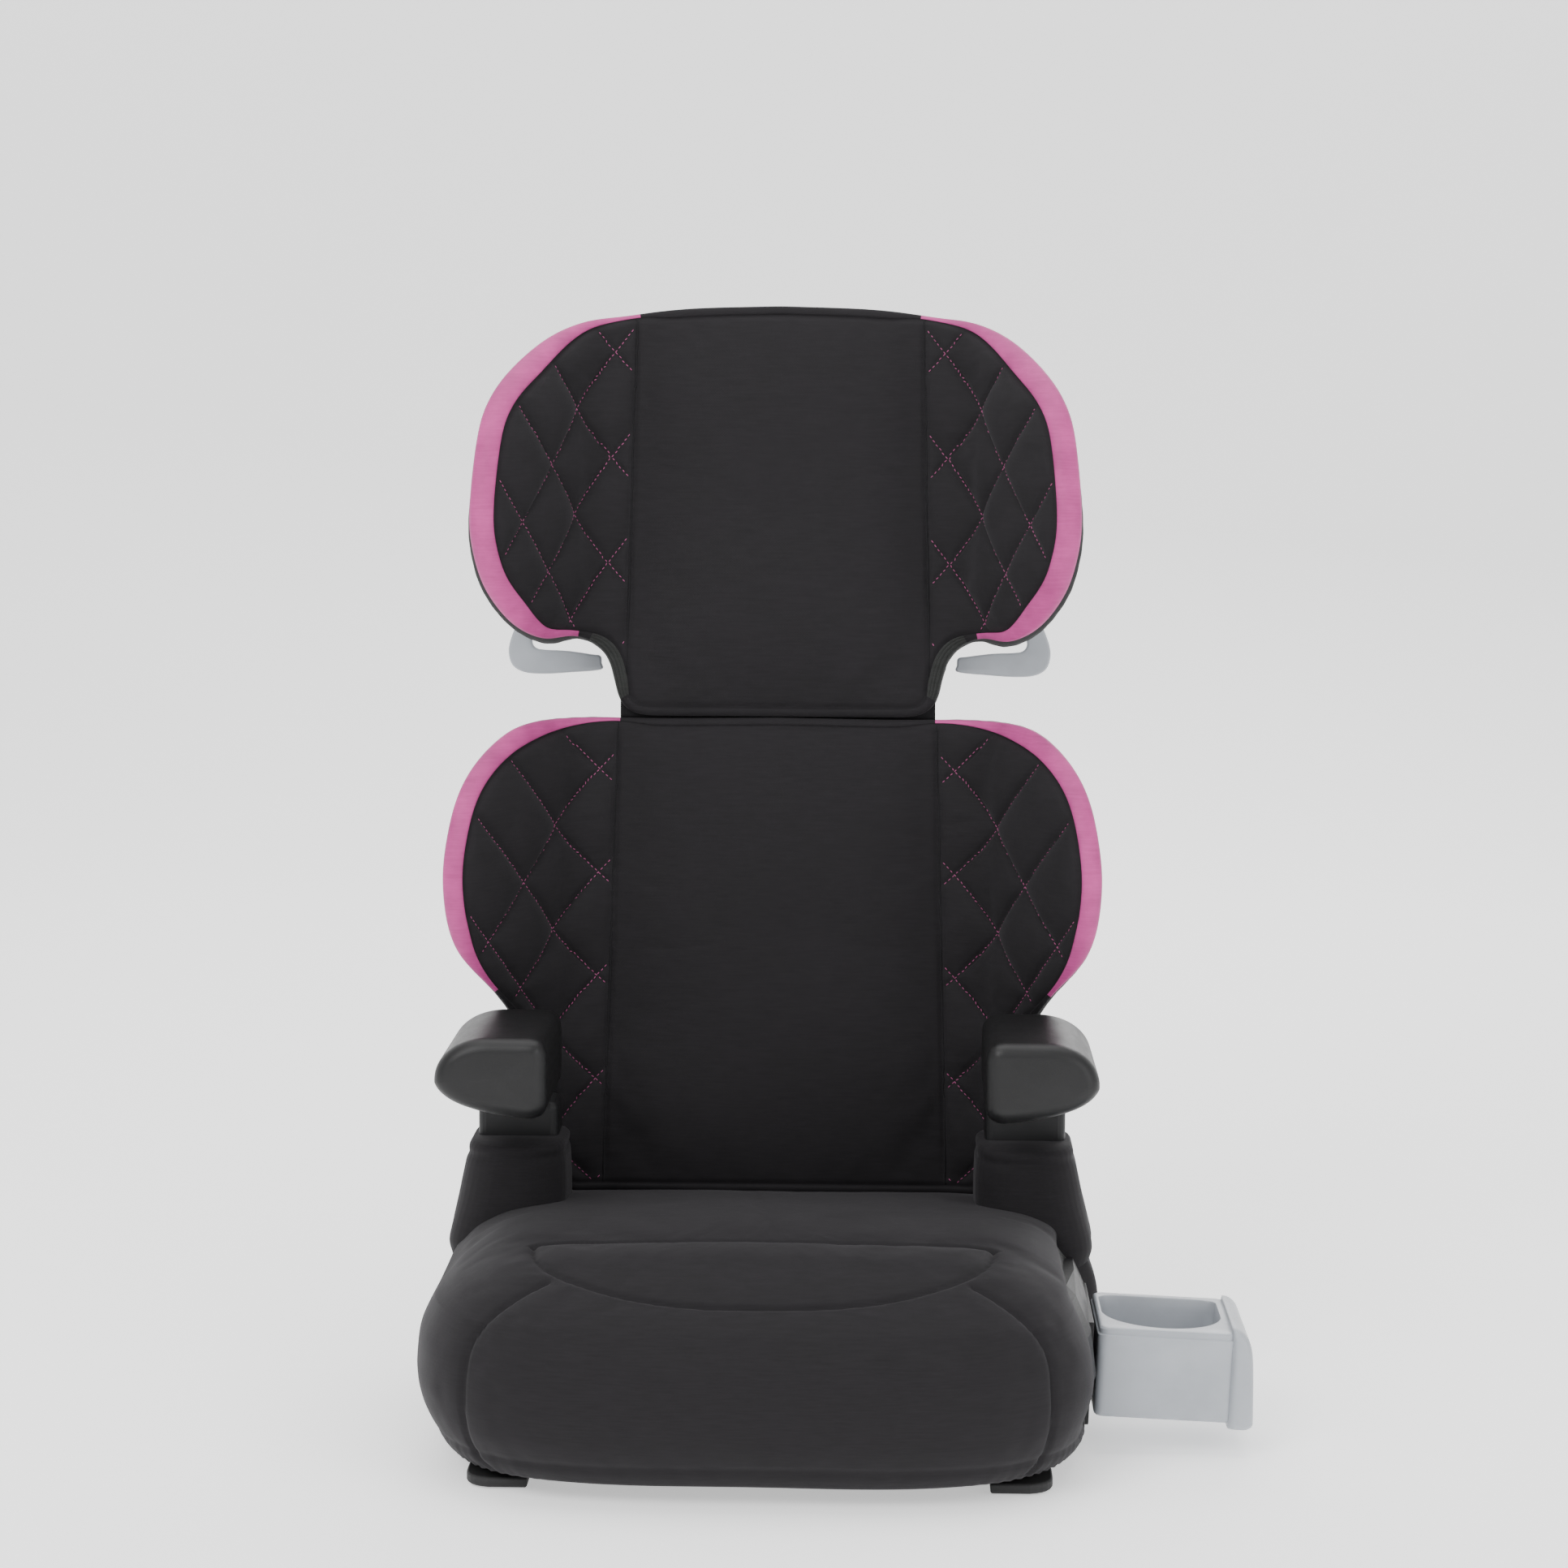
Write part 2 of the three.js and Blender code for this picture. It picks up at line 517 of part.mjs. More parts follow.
function backRearPlate() {
  const { half, low, high } = PLATE;
  const rear = REAR_PLATE_Y + WALL;
  let plate = prism(roundedOutline(half, low, high, 16), 'y', REAR_PLATE_Y, rear);
  for (const { sign } of SIDES) {
    const wall = box(half - WALL - 2, half - 2, SHELL_REAR_Y + GAP, rear - 1, BACK.bottom + 6, high - 16);
    const rail = box(CARRIAGE.half + 0.7, CARRIAGE.half + 4.7, CARRIAGE.front - 0.5, rear, 90, high);
    const glide = box(40, 43, CARRIAGE.rear + 0.5, rear, 90, high);
    const ring = rod(HINGE.pin + 6, 'x', LUGS[0].far + 1, LUGS[1].near - 1, 0, 0, 24);
    const neck = box(LUGS[0].far + 1, LUGS[1].near - 1, -4, rear, 4, 60);
    const eye = rod(HINGE.pin + GAP, 'x', LUGS[0].far, LUGS[1].near, 0, 0, 24);
    const hook = ring.add(neck).subtract(eye);
    plate = joined(plate, ...[wall, rail, glide, hook].map((piece) => mirrorX(piece, sign)));
  }
  const rackLow = LATCH_Z - 30;
  plate = plate.add(box(-9, 9, RACK_CREST_Y, rear, rackLow, high));
  const notches = Array.from({ length: HEIGHTS }, (_, i) => {
    const z = LATCH_Z + i * STEP;
    return box(-7, 7, RACK_CREST_Y - 1, REAR_PLATE_Y, z - 6, z + 6);
  });
  const holes = PLATE_SCREWS.map(([x, z]) => screwHole('y', x, z, rear + 0.5, 1));
  const recesses = PLATE_SCREWS.map(
    ([x, z]) => rod(SCREW.head + GAP, 'y', rear - PLATE_RECESS, rear + 1, x, z, 12),
  );
  return cut(plate, ...notches, ...holes, ...recesses);
}

// ---- headrest -----------------------------------------------------------------------------------

const GUIDE = { outer: 179, slotOuter: 164, tip: 118, nub: 109, low: 391, bar: 14, slot: 12, top: 466 };
const TIP_BAR = 10.5;               // the guide's bar is thinner at its tip
const GUIDE_Y = SHELL_REAR_Y + GAP;
const GUIDE_THICKNESS = 6;
const GUIDE_SCREWS = [[92, 406], [92, 450]];

function headrestShell() {
  const holes = [];
  for (const [x, z] of CARRIAGE_SCREWS) {
    holes.push(screwHole('y', x, z, CARRIAGE.front + WALL, 1, SCREW.middle));
  }
  for (const { sign } of SIDES) {
    for (const [x, z] of GUIDE_SCREWS) {
      holes.push(screwHole('y', sign * x, z, GUIDE_Y + GUIDE_THICKNESS, 1, SCREW.short));
    }
  }
  return cut(wingedShell(HEAD, HEAD_OUTLINE), ...holes);
}

// spine of the headrest: it slides between the rails of the back
function carriage() {
  const { half, front, rear, low, high } = CARRIAGE;
  const plate = box(-half, half, front, rear, low, high);
  const shelf = box(-half, half, SHELL_REAR_Y + GAP, front + 1, HEAD.bottom + 10, high);
  const pocket = box(10, half - WALL, front + WALL, rear + 1, low + WALL, high - WALL);
  const pockets = SIDES.map(({ sign }) => mirrorX(pocket, sign));
  const groove = box(-4, 4, -15, rear + 1, low + WALL, high + 1);
  const window = box(-6.5, 6.5, front - 1, rear + 1, LATCH_Z - 6.5, LATCH_Z + 12);
  const holes = CARRIAGE_SCREWS.map(([x, z]) => screwHole('y', x, z, front + WALL + 0.1, 1));
  return cut(plate.add(shelf), ...pockets, groove, window, ...holes);
}

// open hook that the shoulder belt slips into, and the lip that faces its tip
function beltGuide() {
  const { outer, slotOuter, tip, nub, low, bar, slot, top } = GUIDE;
  const outline = new THREE.Shape();
  outline.moveTo(tip, low);
  outline.lineTo(outer - 14, low);
  outline.quadraticCurveTo(outer, low, outer, low + 16);
  outline.lineTo(outer - 6, low + 40);
  outline.lineTo(outer - 30, top);
  outline.lineTo(CARRIAGE.half + 22, top);
  outline.lineTo(CARRIAGE.half + 22, low + 4);
  outline.lineTo(nub, low);
  outline.lineTo(nub + 1, low + bar);
  outline.quadraticCurveTo(nub, low + bar + slot, nub + 10, low + bar + slot);
  outline.lineTo(slotOuter - 6, low + bar + slot);
  outline.quadraticCurveTo(slotOuter, low + bar + slot, slotOuter, low + bar + slot / 2);
  outline.quadraticCurveTo(slotOuter, low + bar, slotOuter - 6, low + bar);
  outline.lineTo(tip, low + TIP_BAR);
  return prism(outline, 'y', GUIDE_Y, GUIDE_Y + GUIDE_THICKNESS, 1);
}

function releaseHandle() {
  const grip = roundedBox(-42, 42, CARRIAGE.rear + GAP, 11, 548, 588, 4);
  const fingers = roundedBox(-30, 30, -20, 30, 556, 570, 4);
  const stem = box(-3.4, 3.4, -11, CARRIAGE.rear + 1, 574, 586);
  return grip.subtract(fingers).add(stem);
}

const ROD_Y = [-14, -12];
const WEDGE = { high: LATCH_Z + 2, low: LATCH_Z - 3, rise: 2.5 };

// flat rod with a wedge at its foot: pulling it up drives the bolt forwards out of the rack
function releaseRod() {
  const [front, rear] = ROD_Y;
  return prism(polygon([
    [rear, WEDGE.low], [rear, 586], [front, 586], [front, WEDGE.high], [front - WEDGE.rise, WEDGE.low],
  ]), 'x', -3, 3);
}

function latchBolt() {
  const nose = RACK_CREST_Y - GAP;
  const body = box(-6, 6, -18.2, nose, LATCH_Z - 6, LATCH_Z + 6);
  const [front] = ROD_Y;
  const room = prism(polygon([
    [-7.7, LATCH_Z - 10], [-7.7, LATCH_Z + 10], [front - GAP, LATCH_Z + 10],
    [front - GAP, WEDGE.high],
    [front - GAP - WEDGE.rise, WEDGE.low],
    [front - GAP - WEDGE.rise, LATCH_Z - 10],
  ]), 'x', -3.5, 3.5);
  return body.subtract(room);
}

// leaf spring in front of the bolt, drawn with the bolt's full travel free behind it
function latchSpring() {
  const leaf = 0.4;
  const near = CARRIAGE.front - GAP;
  const far = -22.9;
  return prism(polygon([
    [near, LATCH_Z + 50], [near, LATCH_Z + 30], [far + leaf, LATCH_Z + 14], [far + leaf, LATCH_Z - 5],
    [far, LATCH_Z - 5], [far, LATCH_Z + 14], [near - leaf, LATCH_Z + 30], [near - leaf, LATCH_Z + 50],
  ]), 'x', -4, 4);
}

// ---- assembly -----------------------------------------------------------------------------------

place(seat, 'base_shell', baseShell(), BLACK_PLASTIC);
place(seat, 'base_underpan', baseUnderpan(), BLACK_PLASTIC);
place(seat, 'seat_foam', seatFoam(), FOAM);
place(seat, 'seat_cover', seatCover(), FABRIC);
for (const { name, sign } of SIDES) {
  place(seat, `arm_cap_${name}`, mirrorX(armCap(), sign), GRAINED_PLASTIC);
  const armScrew = screw('z', ...ARM_SCREW_AT, BEAM.low - WALL - 0.1, -1);
  place(seat, `arm_screw_${name}`, mirrorX(armScrew, sign), STEEL);
  place(seat, `hinge_pin_${name}`, mirrorX(hingePin(), sign), STEEL);
  place(seat, `foot_front_${name}`, mirrorX(foot(-168), sign), RUBBER);
  place(seat, `foot_rear_${name}`, mirrorX(foot(70), sign), RUBBER);
  place(seat, `hip_pad_${name}`, mirrorX(hipPad(), sign), FABRIC);
}
UNDERPAN_SCREWS.forEach(([x, y], i) => {
  place(seat, `underpan_screw_${i + 1}`, screw('z', x, y, UNDERPAN.low - 0.1, -1), STEEL);
});

place(drawerFrame, 'drawer_channel', drawerChannel(), BLACK_PLASTIC);
place(drawerFrame, 'cup_holder', cupHolder(), GREY_PLASTIC);
CHANNEL_SCREWS.forEach(([x, y], i) => {
  const channelScrew = screw('z', x, y, CHANNEL.high - CHANNEL.wall - 0.1, -1);
  place(drawerFrame, `channel_screw_${i + 1}`, channelScrew, STEEL);
});

const backFoam = foamPieces(BACK, BACK_OUTLINE);
place(backFrame, 'back_shell', backShell(), BLACK_PLASTIC);
place(backFrame, 'back_rear_plate', backRearPlate(), BLACK_PLASTIC);
place(backFrame, 'back_foam', backFoam.centre, FOAM);
place(backFrame, 'back_cover', wingedCover(BACK, BACK_OUTLINE), FABRIC);
PLATE_SCREWS.forEach(([x, z], i) => {
  const seatAt = REAR_PLATE_Y + WALL - PLATE_RECESS + 0.1;
  const plateScrew = screw('y', x, z, seatAt, 1, SCREW.long - PLATE_RECESS);
  place(backFrame, `rear_plate_screw_${i + 1}`, plateScrew, STEEL);
});

const headFoam = foamPieces(HEAD, HEAD_OUTLINE);
place(backFrame, 'headrest_shell', headrestShell(), BLACK_PLASTIC);
place(backFrame, 'headrest_carriage', carriage(), BLACK_PLASTIC);
place(backFrame, 'headrest_foam', headFoam.centre, FOAM);
place(backFrame, 'headrest_cover', wingedCover(HEAD, HEAD_OUTLINE), FABRIC);
CARRIAGE_SCREWS.forEach(([x, z], i) => {
  place(backFrame, `carriage_screw_${i + 1}`,
    screw('y', x, z, CARRIAGE.front + WALL + 0.2, 1, SCREW.middle), STEEL);
});

for (const { name, sign } of SIDES) {
  place(backFrame, `back_wing_foam_${name}`, backFoam.wing(sign), FOAM);
  place(backFrame, `headrest_wing_foam_${name}`, headFoam.wing(sign), FOAM);
  place(backFrame, `belt_guide_${name}`, mirrorX(cut(
    beltGuide(),
    ...GUIDE_SCREWS.map(([x, z]) => screwHole('y', x, z, GUIDE_Y + GUIDE_THICKNESS + 0.5, 1)),
  ), sign), GREY_PLASTIC);
  GUIDE_SCREWS.forEach(([x, z], i) => {
    place(backFrame, `guide_screw_${name}_${i + 1}`,
      screw('y', sign * x, z, GUIDE_Y + GUIDE_THICKNESS + 0.1, 1, SCREW.short), STEEL);
  });
}

place(backFrame, 'release_handle', releaseHandle(), GREY_PLASTIC);
place(backFrame, 'release_rod', releaseRod(), STEEL);
place(backFrame, 'latch_bolt', latchBolt(), GREY_PLASTIC);
place(backFrame, 'latch_spring', latchSpring(), STEEL);

export default seat;
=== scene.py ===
import json
import math

import bpy
import numpy as np
from mathutils import Matrix, Vector
from mathutils.bvhtree import BVHTree


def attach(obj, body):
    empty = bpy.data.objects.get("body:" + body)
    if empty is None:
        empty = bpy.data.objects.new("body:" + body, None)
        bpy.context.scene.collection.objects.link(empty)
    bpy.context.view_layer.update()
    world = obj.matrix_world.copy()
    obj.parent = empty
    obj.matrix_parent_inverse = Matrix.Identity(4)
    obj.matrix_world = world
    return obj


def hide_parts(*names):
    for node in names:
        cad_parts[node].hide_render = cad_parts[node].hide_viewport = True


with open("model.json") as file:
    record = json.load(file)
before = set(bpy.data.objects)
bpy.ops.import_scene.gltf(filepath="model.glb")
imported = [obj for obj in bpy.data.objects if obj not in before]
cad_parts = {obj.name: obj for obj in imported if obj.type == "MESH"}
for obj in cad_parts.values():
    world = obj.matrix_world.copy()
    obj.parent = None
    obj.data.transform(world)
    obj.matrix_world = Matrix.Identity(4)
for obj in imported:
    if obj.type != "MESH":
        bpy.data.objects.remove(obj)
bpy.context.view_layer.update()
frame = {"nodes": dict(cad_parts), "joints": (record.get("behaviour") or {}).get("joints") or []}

# High-back booster seat: the looks around the fixed CAD frame.
# Shapes are worked out in millimetres and turned into metres when a mesh is made.

MM = 0.001
JOINTS = {joint["name"]: joint for joint in frame["joints"]}
SIDES = (("left", -1), ("right", 1))


# ---- frames ----

def frame_matrix(origin, x_axis, z_axis):
    """Matrix from a local frame in millimetres to the seat's frame in metres."""
    x = Vector(x_axis).normalized()
    z = Vector(z_axis).normalized()
    y = z.cross(x)
    rotation = Matrix((x, y, z)).transposed().to_4x4()
    return Matrix.Translation(origin) @ rotation @ Matrix.Scale(MM, 4)


SEAT = Matrix.Scale(MM, 4)
HINGE = Vector(JOINTS["back_recline"]["pos_m"])
BACK_FRAME = frame_matrix(HINGE, (1, 0, 0), JOINTS["headrest_slide"]["axis"])
DRAWER_AXIS = Vector(JOINTS["drawer_slide"]["axis"])
DRAWER_MOUTH = 200.0
DRAWER_FRAME = frame_matrix(
    (DRAWER_MOUTH * MM, 0, 0), DRAWER_AXIS, (-DRAWER_AXIS.z, 0, DRAWER_AXIS.x))


# ---- materials ----

class Nodes:
    """Short way to build a node tree."""

    def __init__(self, name):
        self.material = bpy.data.materials.new(name)
        self.material.use_nodes = True
        self.tree = self.material.node_tree
        self.shader = self.tree.nodes["Principled BSDF"]

    def add(self, kind, settings=None, **inputs):
        node = self.tree.nodes.new(kind)
        for key, value in (settings or {}).items():
            setattr(node, key, value)
        for key, value in inputs.items():
            self.put(node, key.replace("_", " "), value)
        return node

    def put(self, node, key, value):
        socket = node.inputs[int(key[1:])] if key[0] == "#" else node.inputs[key]
        if isinstance(value, bpy.types.NodeSocket):
            self.tree.links.new(value, socket)
        else:
            socket.default_value = value

    def math(self, operation, a, b=0.0):
        node = self.add("ShaderNodeMath", {"operation": operation})
        self.put(node, "#0", a)
        self.put(node, "#1", b)
        return node.outputs[0]

    def noise(self, vector, scale, detail=3.0, roughness=0.55):
        node = self.add("ShaderNodeTexNoise", Scale=scale, Detail=detail, Roughness=roughness)
        self.put(node, "Vector", vector)
        return node.outputs["Fac"]

    def spread(self, value, low, high, source_low=0.3, source_high=0.7):
        node = self.add("ShaderNodeMapRange")
        for key, item in (("Value", value), ("From Min", source_low), ("From Max", source_high),
                          ("To Min", low), ("To Max", high)):
            self.put(node, key, item)
        return node.outputs["Result"]

    def mix(self, factor, a, b):
        node = self.add("ShaderNodeMix", {"data_type": "RGBA"})
        self.put(node, "#0", factor)
        self.put(node, "#6", a)
        self.put(node, "#7", b)
        return node.outputs[2]

    def scaled(self, vector, factors):
        node = self.add("ShaderNodeVectorMath", {"operation": "MULTIPLY"})
        self.put(node, "#0", vector)
        self.put(node, "#1", factors)
        return node.outputs[0]

    def bump(self, height, distance, strength=1.0, normal=None):
        node = self.add("ShaderNodeBump", Height=height, Distance=distance, Strength=strength)
        if normal is not None:
            self.put(node, "Normal", normal)
        return node.outputs["Normal"]

    def edges(self):
        """0 on flat and hollow places, 1 on worn convex edges."""
        pointiness = self.add("ShaderNodeNewGeometry").outputs["Pointiness"]
        return self.spread(pointiness, 0.0, 1.0, 0.52, 0.62)

    def finish(self, **inputs):
        for key, value in inputs.items():
            self.put(self.shader, key.replace("_", " "), value)
        return self.material


def shade(colour, factor):
    return tuple(min(1.0, c * factor) for c in colour) + (1.0,)


def cloth_material(name, colour, pitch, slub, sheen, sheen_tint, roughness, strength=0.5):
    """Knitted or woven cloth; `pitch` is the stitch size in millimetres, `slub` the streaks."""
    n = Nodes(name)
    cloth = n.add("ShaderNodeAttribute", {"attribute_name": "cloth"}).outputs["Vector"]
    turns = 2 * math.pi / (pitch * MM)
    axes = n.add("ShaderNodeSeparateXYZ", Vector=n.scaled(cloth, (turns, turns, turns)))
    across = n.math("SINE", axes.outputs["X"])
    along = n.math("SINE", axes.outputs["Y"])
    weave = n.math("MULTIPLY", across, along)
    place = n.add("ShaderNodeTexCoord").outputs["Object"]
    fuzz = n.noise(place, 2600.0, 2.0)
    mottle = n.noise(place, 42.0, 4.0)
    streak = n.noise(n.scaled(place, (70.0, 70.0, 900.0)), 1.0, 3.0)
    tone = n.math("ADD", n.math("MULTIPLY", mottle, 1.0 - slub), n.math("MULTIPLY", streak, slub))
    tone = n.math("ADD", tone, n.math("MULTIPLY", weave, 0.06))
    base = n.mix(n.spread(tone, 0.0, 1.0, 0.32, 0.68), shade(colour, 0.78), shade(colour, 1.26))
    base = n.mix(n.math("MULTIPLY", n.edges(), 0.22), base, shade(colour, 1.9))
    height = n.math("ADD", n.math("MULTIPLY", weave, 0.5), n.math("MULTIPLY", fuzz, 0.8))
    normal = n.bump(height, 0.12 * MM, strength)
    normal = n.bump(n.noise(place, 160.0, 3.0), 0.4 * MM, 0.3, normal)
    rough = n.spread(mottle, roughness - 0.05, roughness + 0.06)
    return n.finish(
        Base_Color=base, Roughness=rough, Normal=normal, Sheen_Weight=sheen,
        Sheen_Roughness=0.45, Sheen_Tint=shade(sheen_tint, 1.0), Specular_IOR_Level=0.2)


def plastic_material(name, colour, roughness, grain, grain_depth, wear=0.25, coat=0.0, specular=0.5):
    """Moulded plastic with a fine grain, faint flow marks and worn edges."""
    n = Nodes(name)
    place = n.add("ShaderNodeTexCoord").outputs["Object"]
    fine = n.noise(place, 1000.0 / grain, 2.0)
    cloud = n.noise(place, 28.0, 4.0)
    scuff = n.noise(n.scaled(place, (40.0, 40.0, 260.0)), 1.0, 5.0, 0.65)
    base = n.mix(n.spread(cloud, 0.0, 1.0), shade(colour, 0.9), shade(colour, 1.1))
    base = n.mix(n.math("MULTIPLY", n.edges(), wear), base, shade(colour, 1.7))
    rough = n.spread(n.math("ADD", n.math("MULTIPLY", scuff, 0.6), n.math("MULTIPLY", fine, 0.4)),
                     roughness - 0.07, roughness + 0.08)
    normal = n.bump(fine, grain_depth * MM, 0.6)
    normal = n.bump(cloud, 0.15 * MM, 0.2, normal)
    return n.finish(Base_Color=base, Roughness=rough, Normal=normal, Coat_Weight=coat,
                    Coat_Roughness=0.25, Specular_IOR_Level=specular)


def metal_material(name, colour, roughness):
    n = Nodes(name)
    place = n.add("ShaderNodeTexCoord").outputs["Object"]
    brushed = n.noise(n.scaled(place, (300.0, 3000.0, 3000.0)), 1.0, 3.0)
    cloud = n.noise(place, 90.0, 3.0)
    base = n.mix(n.spread(cloud, 0.0, 1.0), shade(colour, 0.85), shade(colour, 1.1))
    return n.finish(
        Base_Color=base, Metallic=1.0, Roughness=n.spread(brushed, roughness - 0.08, roughness + 0.1),
        Normal=n.bump(brushed, 0.03 * MM, 0.4))


WHITISH, ROSY = (0.8, 0.8, 0.8), (1.0, 0.7, 0.85)        # tints of the cloths' sheen
JERSEY = cloth_material("charcoal_jersey", (0.0108, 0.0098, 0.0112), pitch=1.1, slub=0.45, sheen=0.07,
                        sheen_tint=(0.8, 0.78, 0.82), roughness=0.82)
DARK_CLOTH = cloth_material("black_edge_cloth", (0.0085, 0.0082, 0.0092), pitch=1.3, slub=0.3, sheen=0.05,
                            sheen_tint=WHITISH, roughness=0.86)
ELASTIC = cloth_material("ribbed_elastic", (0.021, 0.022, 0.021), pitch=0.8, slub=0.6, sheen=0.12,
                         sheen_tint=WHITISH, roughness=0.8, strength=0.9)
PINK = cloth_material("pink_satin_panel", (0.40, 0.054, 0.208), pitch=0.7, slub=0.3, sheen=0.05,
                      sheen_tint=ROSY, roughness=0.55, strength=0.25)
THREAD = cloth_material("pink_thread", (0.27, 0.060, 0.150), pitch=0.5, slub=0.2, sheen=0.1,
                        sheen_tint=ROSY, roughness=0.6)
BLACK_PLASTIC = plastic_material("black_plastic", (0.009, 0.009, 0.0098), roughness=0.5, grain=0.8,
                                 grain_depth=0.04, specular=0.3)
ARM_PLASTIC = plastic_material("grained_black_plastic", (0.0075, 0.0075, 0.008), roughness=0.42, grain=0.55,
                               grain_depth=0.16, wear=0.35, specular=0.32)
GREY_PLASTIC = plastic_material("grey_plastic", (0.335, 0.355, 0.385), roughness=0.36, grain=1.2,
                                grain_depth=0.02, wear=0.15, coat=0.1)
RUBBER = plastic_material("black_rubber", (0.011, 0.011, 0.0115), roughness=0.7, grain=0.9,
                          grain_depth=0.09, wear=0.3)
STEEL = metal_material("zinc_plated_steel", (0.55, 0.55, 0.57), 0.34)


# ---- meshes ----

def new_mesh(name, points, faces):
    """A mesh from points in metres."""
    mesh = bpy.data.meshes.new(name)
    mesh.from_pydata(np.asarray(points).tolist(), [], [list(face) for face in faces])
    return mesh


def linked(name, data):
    """A new object that is part of the scene."""
    obj = bpy.data.objects.new(name, data)
    bpy.context.scene.collection.objects.link(obj)
    return obj


def piece(name, points, faces, materials, body, matrix=SEAT, face_materials=None, cloth=None):
    """A finished mesh object from points in millimetres, riding on a body."""
    flat = np.asarray(points, float)
    turn = np.array(matrix)
    world = flat @ turn[:3, :3].T + turn[:3, 3]
    mesh = new_mesh(name, world, faces)
    for material in materials:
        mesh.materials.append(material)
    if face_materials is not None:
        mesh.polygons.foreach_set("material_index", np.asarray(face_materials, np.int32))
    uv = flat if cloth is None else np.asarray(cloth, float)
    attribute = mesh.attributes.new("cloth", "FLOAT_VECTOR", "POINT")
    attribute.data.foreach_set("vector", (uv * MM).astype(np.float32).ravel())
    mesh.polygons.foreach_set("use_smooth", np.ones(len(faces), bool))
    mesh.update()
    obj = linked(name, mesh)
    if signed_volume(world, mesh) < 0:
        mesh.flip_normals()
    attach(obj, body)
    return obj


def signed_volume(world, mesh):
    mesh.calc_loop_triangles()
    corners = np.zeros(len(mesh.loop_triangles) * 3, np.int32)
    mesh.loop_triangles.foreach_get("vertices", corners)
    a, b, c = (world[corners.reshape(-1, 3)[:, i]] for i in range(3))
    return float(np.einsum("ij,ij->i", a, np.cross(b, c)).sum())


def ring_faces(rings, count, caps=True):
    """Quads between `rings` rings of `count` points, with a fan to a pole point at each end.
    Point 0 is the first pole and the last point the second pole when `caps` is true."""
    first = 1 if caps else 0
    index = first + np.arange(rings * count).reshape(rings, count)
    turned = np.roll(index, -1, axis=1)
    quads = np.stack([index[:-1], turned[:-1], turned[1:], index[1:]], axis=-1).reshape(-1, 4)
    faces = [tuple(quad) for quad in quads.tolist()]
    if caps:
        last = first + rings * count
        front = [(0, b, a) for a, b in zip(index[0].tolist(), turned[0].tolist())]
        back = [(last, a, b) for a, b in zip(index[-1].tolist(), turned[-1].tolist())]
        faces = front + faces + back
    return faces


def closed_rings(rings):
    """Points and faces of a closed body made of rings that end in a pole at each end."""
    rings = [np.asarray(ring, float) for ring in rings]
    points = np.vstack([rings[0].mean(0)[None], *rings, rings[-1].mean(0)[None]])
    return points, ring_faces(len(rings), len(rings[0]))


def pole_faces(rings, count):
    """Faces of rings that start at one pole (point 0) and end open."""
    index = 1 + np.arange(rings * count).reshape(rings, count)
    turned = np.roll(index, -1, axis=1)
    faces = [(0, a, b) for a, b in zip(index[0].tolist(), turned[0].tolist())]
    quads = np.stack([index[:-1], index[1:], turned[1:], turned[:-1]], axis=-1).reshape(-1, 4)
    return faces + [tuple(q) for q in quads.tolist()]


def pole_points(rings):
    """Points of rings whose first ring is drawn together into one pole."""
    return np.vstack([rings[0, :1], rings[1:].reshape(-1, 3)])


def pole_grid(values, rings, count):
    """Values at such points, spread over a grid of rings again."""
    first = np.repeat(values[:1], count, axis=0)[None]
    return np.concatenate([first, values[1:].reshape(rings - 1, count, 3)])


def at_height(flat, z):
    """A plan outline at a height."""
    return np.stack([flat[:, 0], flat[:, 1], np.full(len(flat), z)], axis=1)


def at_depth(flat, y):
    """A front-view outline at a depth, which is one number or one for each point."""
    return np.stack([flat[:, 0], np.broadcast_to(y, len(flat)), flat[:, 1]], axis=1)


def at_side(flat, x):
    """A side-view outline at a distance from the middle."""
    return np.stack([np.full(len(flat), x), flat[:, 0], flat[:, 1]], axis=1)


def smooth_step(value, low=0.0, high=1.0):
    t = np.clip((value - low) / (high - low), 0.0, 1.0)
    return t * t * (3 - 2 * t)


def wander(u, v, seed):
    """Slow smooth unevenness between about -1 and 1, the same on every run."""
    total = np.zeros(np.broadcast(u, v).shape)
    for i in range(5):
        angle = seed * 1.7 + i * 2.4
        wave = 1.0 + 0.55 * i
        total = total + np.sin(wave * (u * math.cos(angle) + v * math.sin(angle)) + 3.1 * i + seed)
    return total / 3.0


def catmull(points, per_span):
    """Smooth curve through the points, open at both ends."""
    p = np.asarray(points, float)
    p = np.vstack([2 * p[0] - p[1], p, 2 * p[-1] - p[-2]])
    t = np.linspace(0, 1, per_span, endpoint=False)[:, None]
    spans = []
    for a, b, c, d in zip(p[:-3], p[1:-2], p[2:-1], p[3:]):
        spans.append(0.5 * (2 * b + (c - a) * t + (2 * a - 5 * b + 4 * c - d) * t ** 2
                            + (3 * b - 3 * c + d - a) * t ** 3))
    return np.vstack(spans + [p[-2][None]])


def reach_along(line):
    """Distance along a polyline at each of its points."""
    return np.concatenate([[0], np.cumsum(np.linalg.norm(np.diff(line, axis=0), axis=1))])


def even(points, count):
    """The polyline resampled to `count` evenly spaced points."""
    p = np.asarray(points, float)
    length = reach_along(p)
    wanted = np.linspace(0, length[-1], count)
    return np.stack([np.interp(wanted, length, p[:, i]) for i in range(p.shape[1])], axis=1)


def smoothed(values, times):
    """Values evened out along their first axis, with both ends kept."""
    values = np.array(values, float)
    for _ in range(times):
        values[1:-1] = 0.5 * values[1:-1] + 0.25 * (values[2:] + values[:-2])
    return values


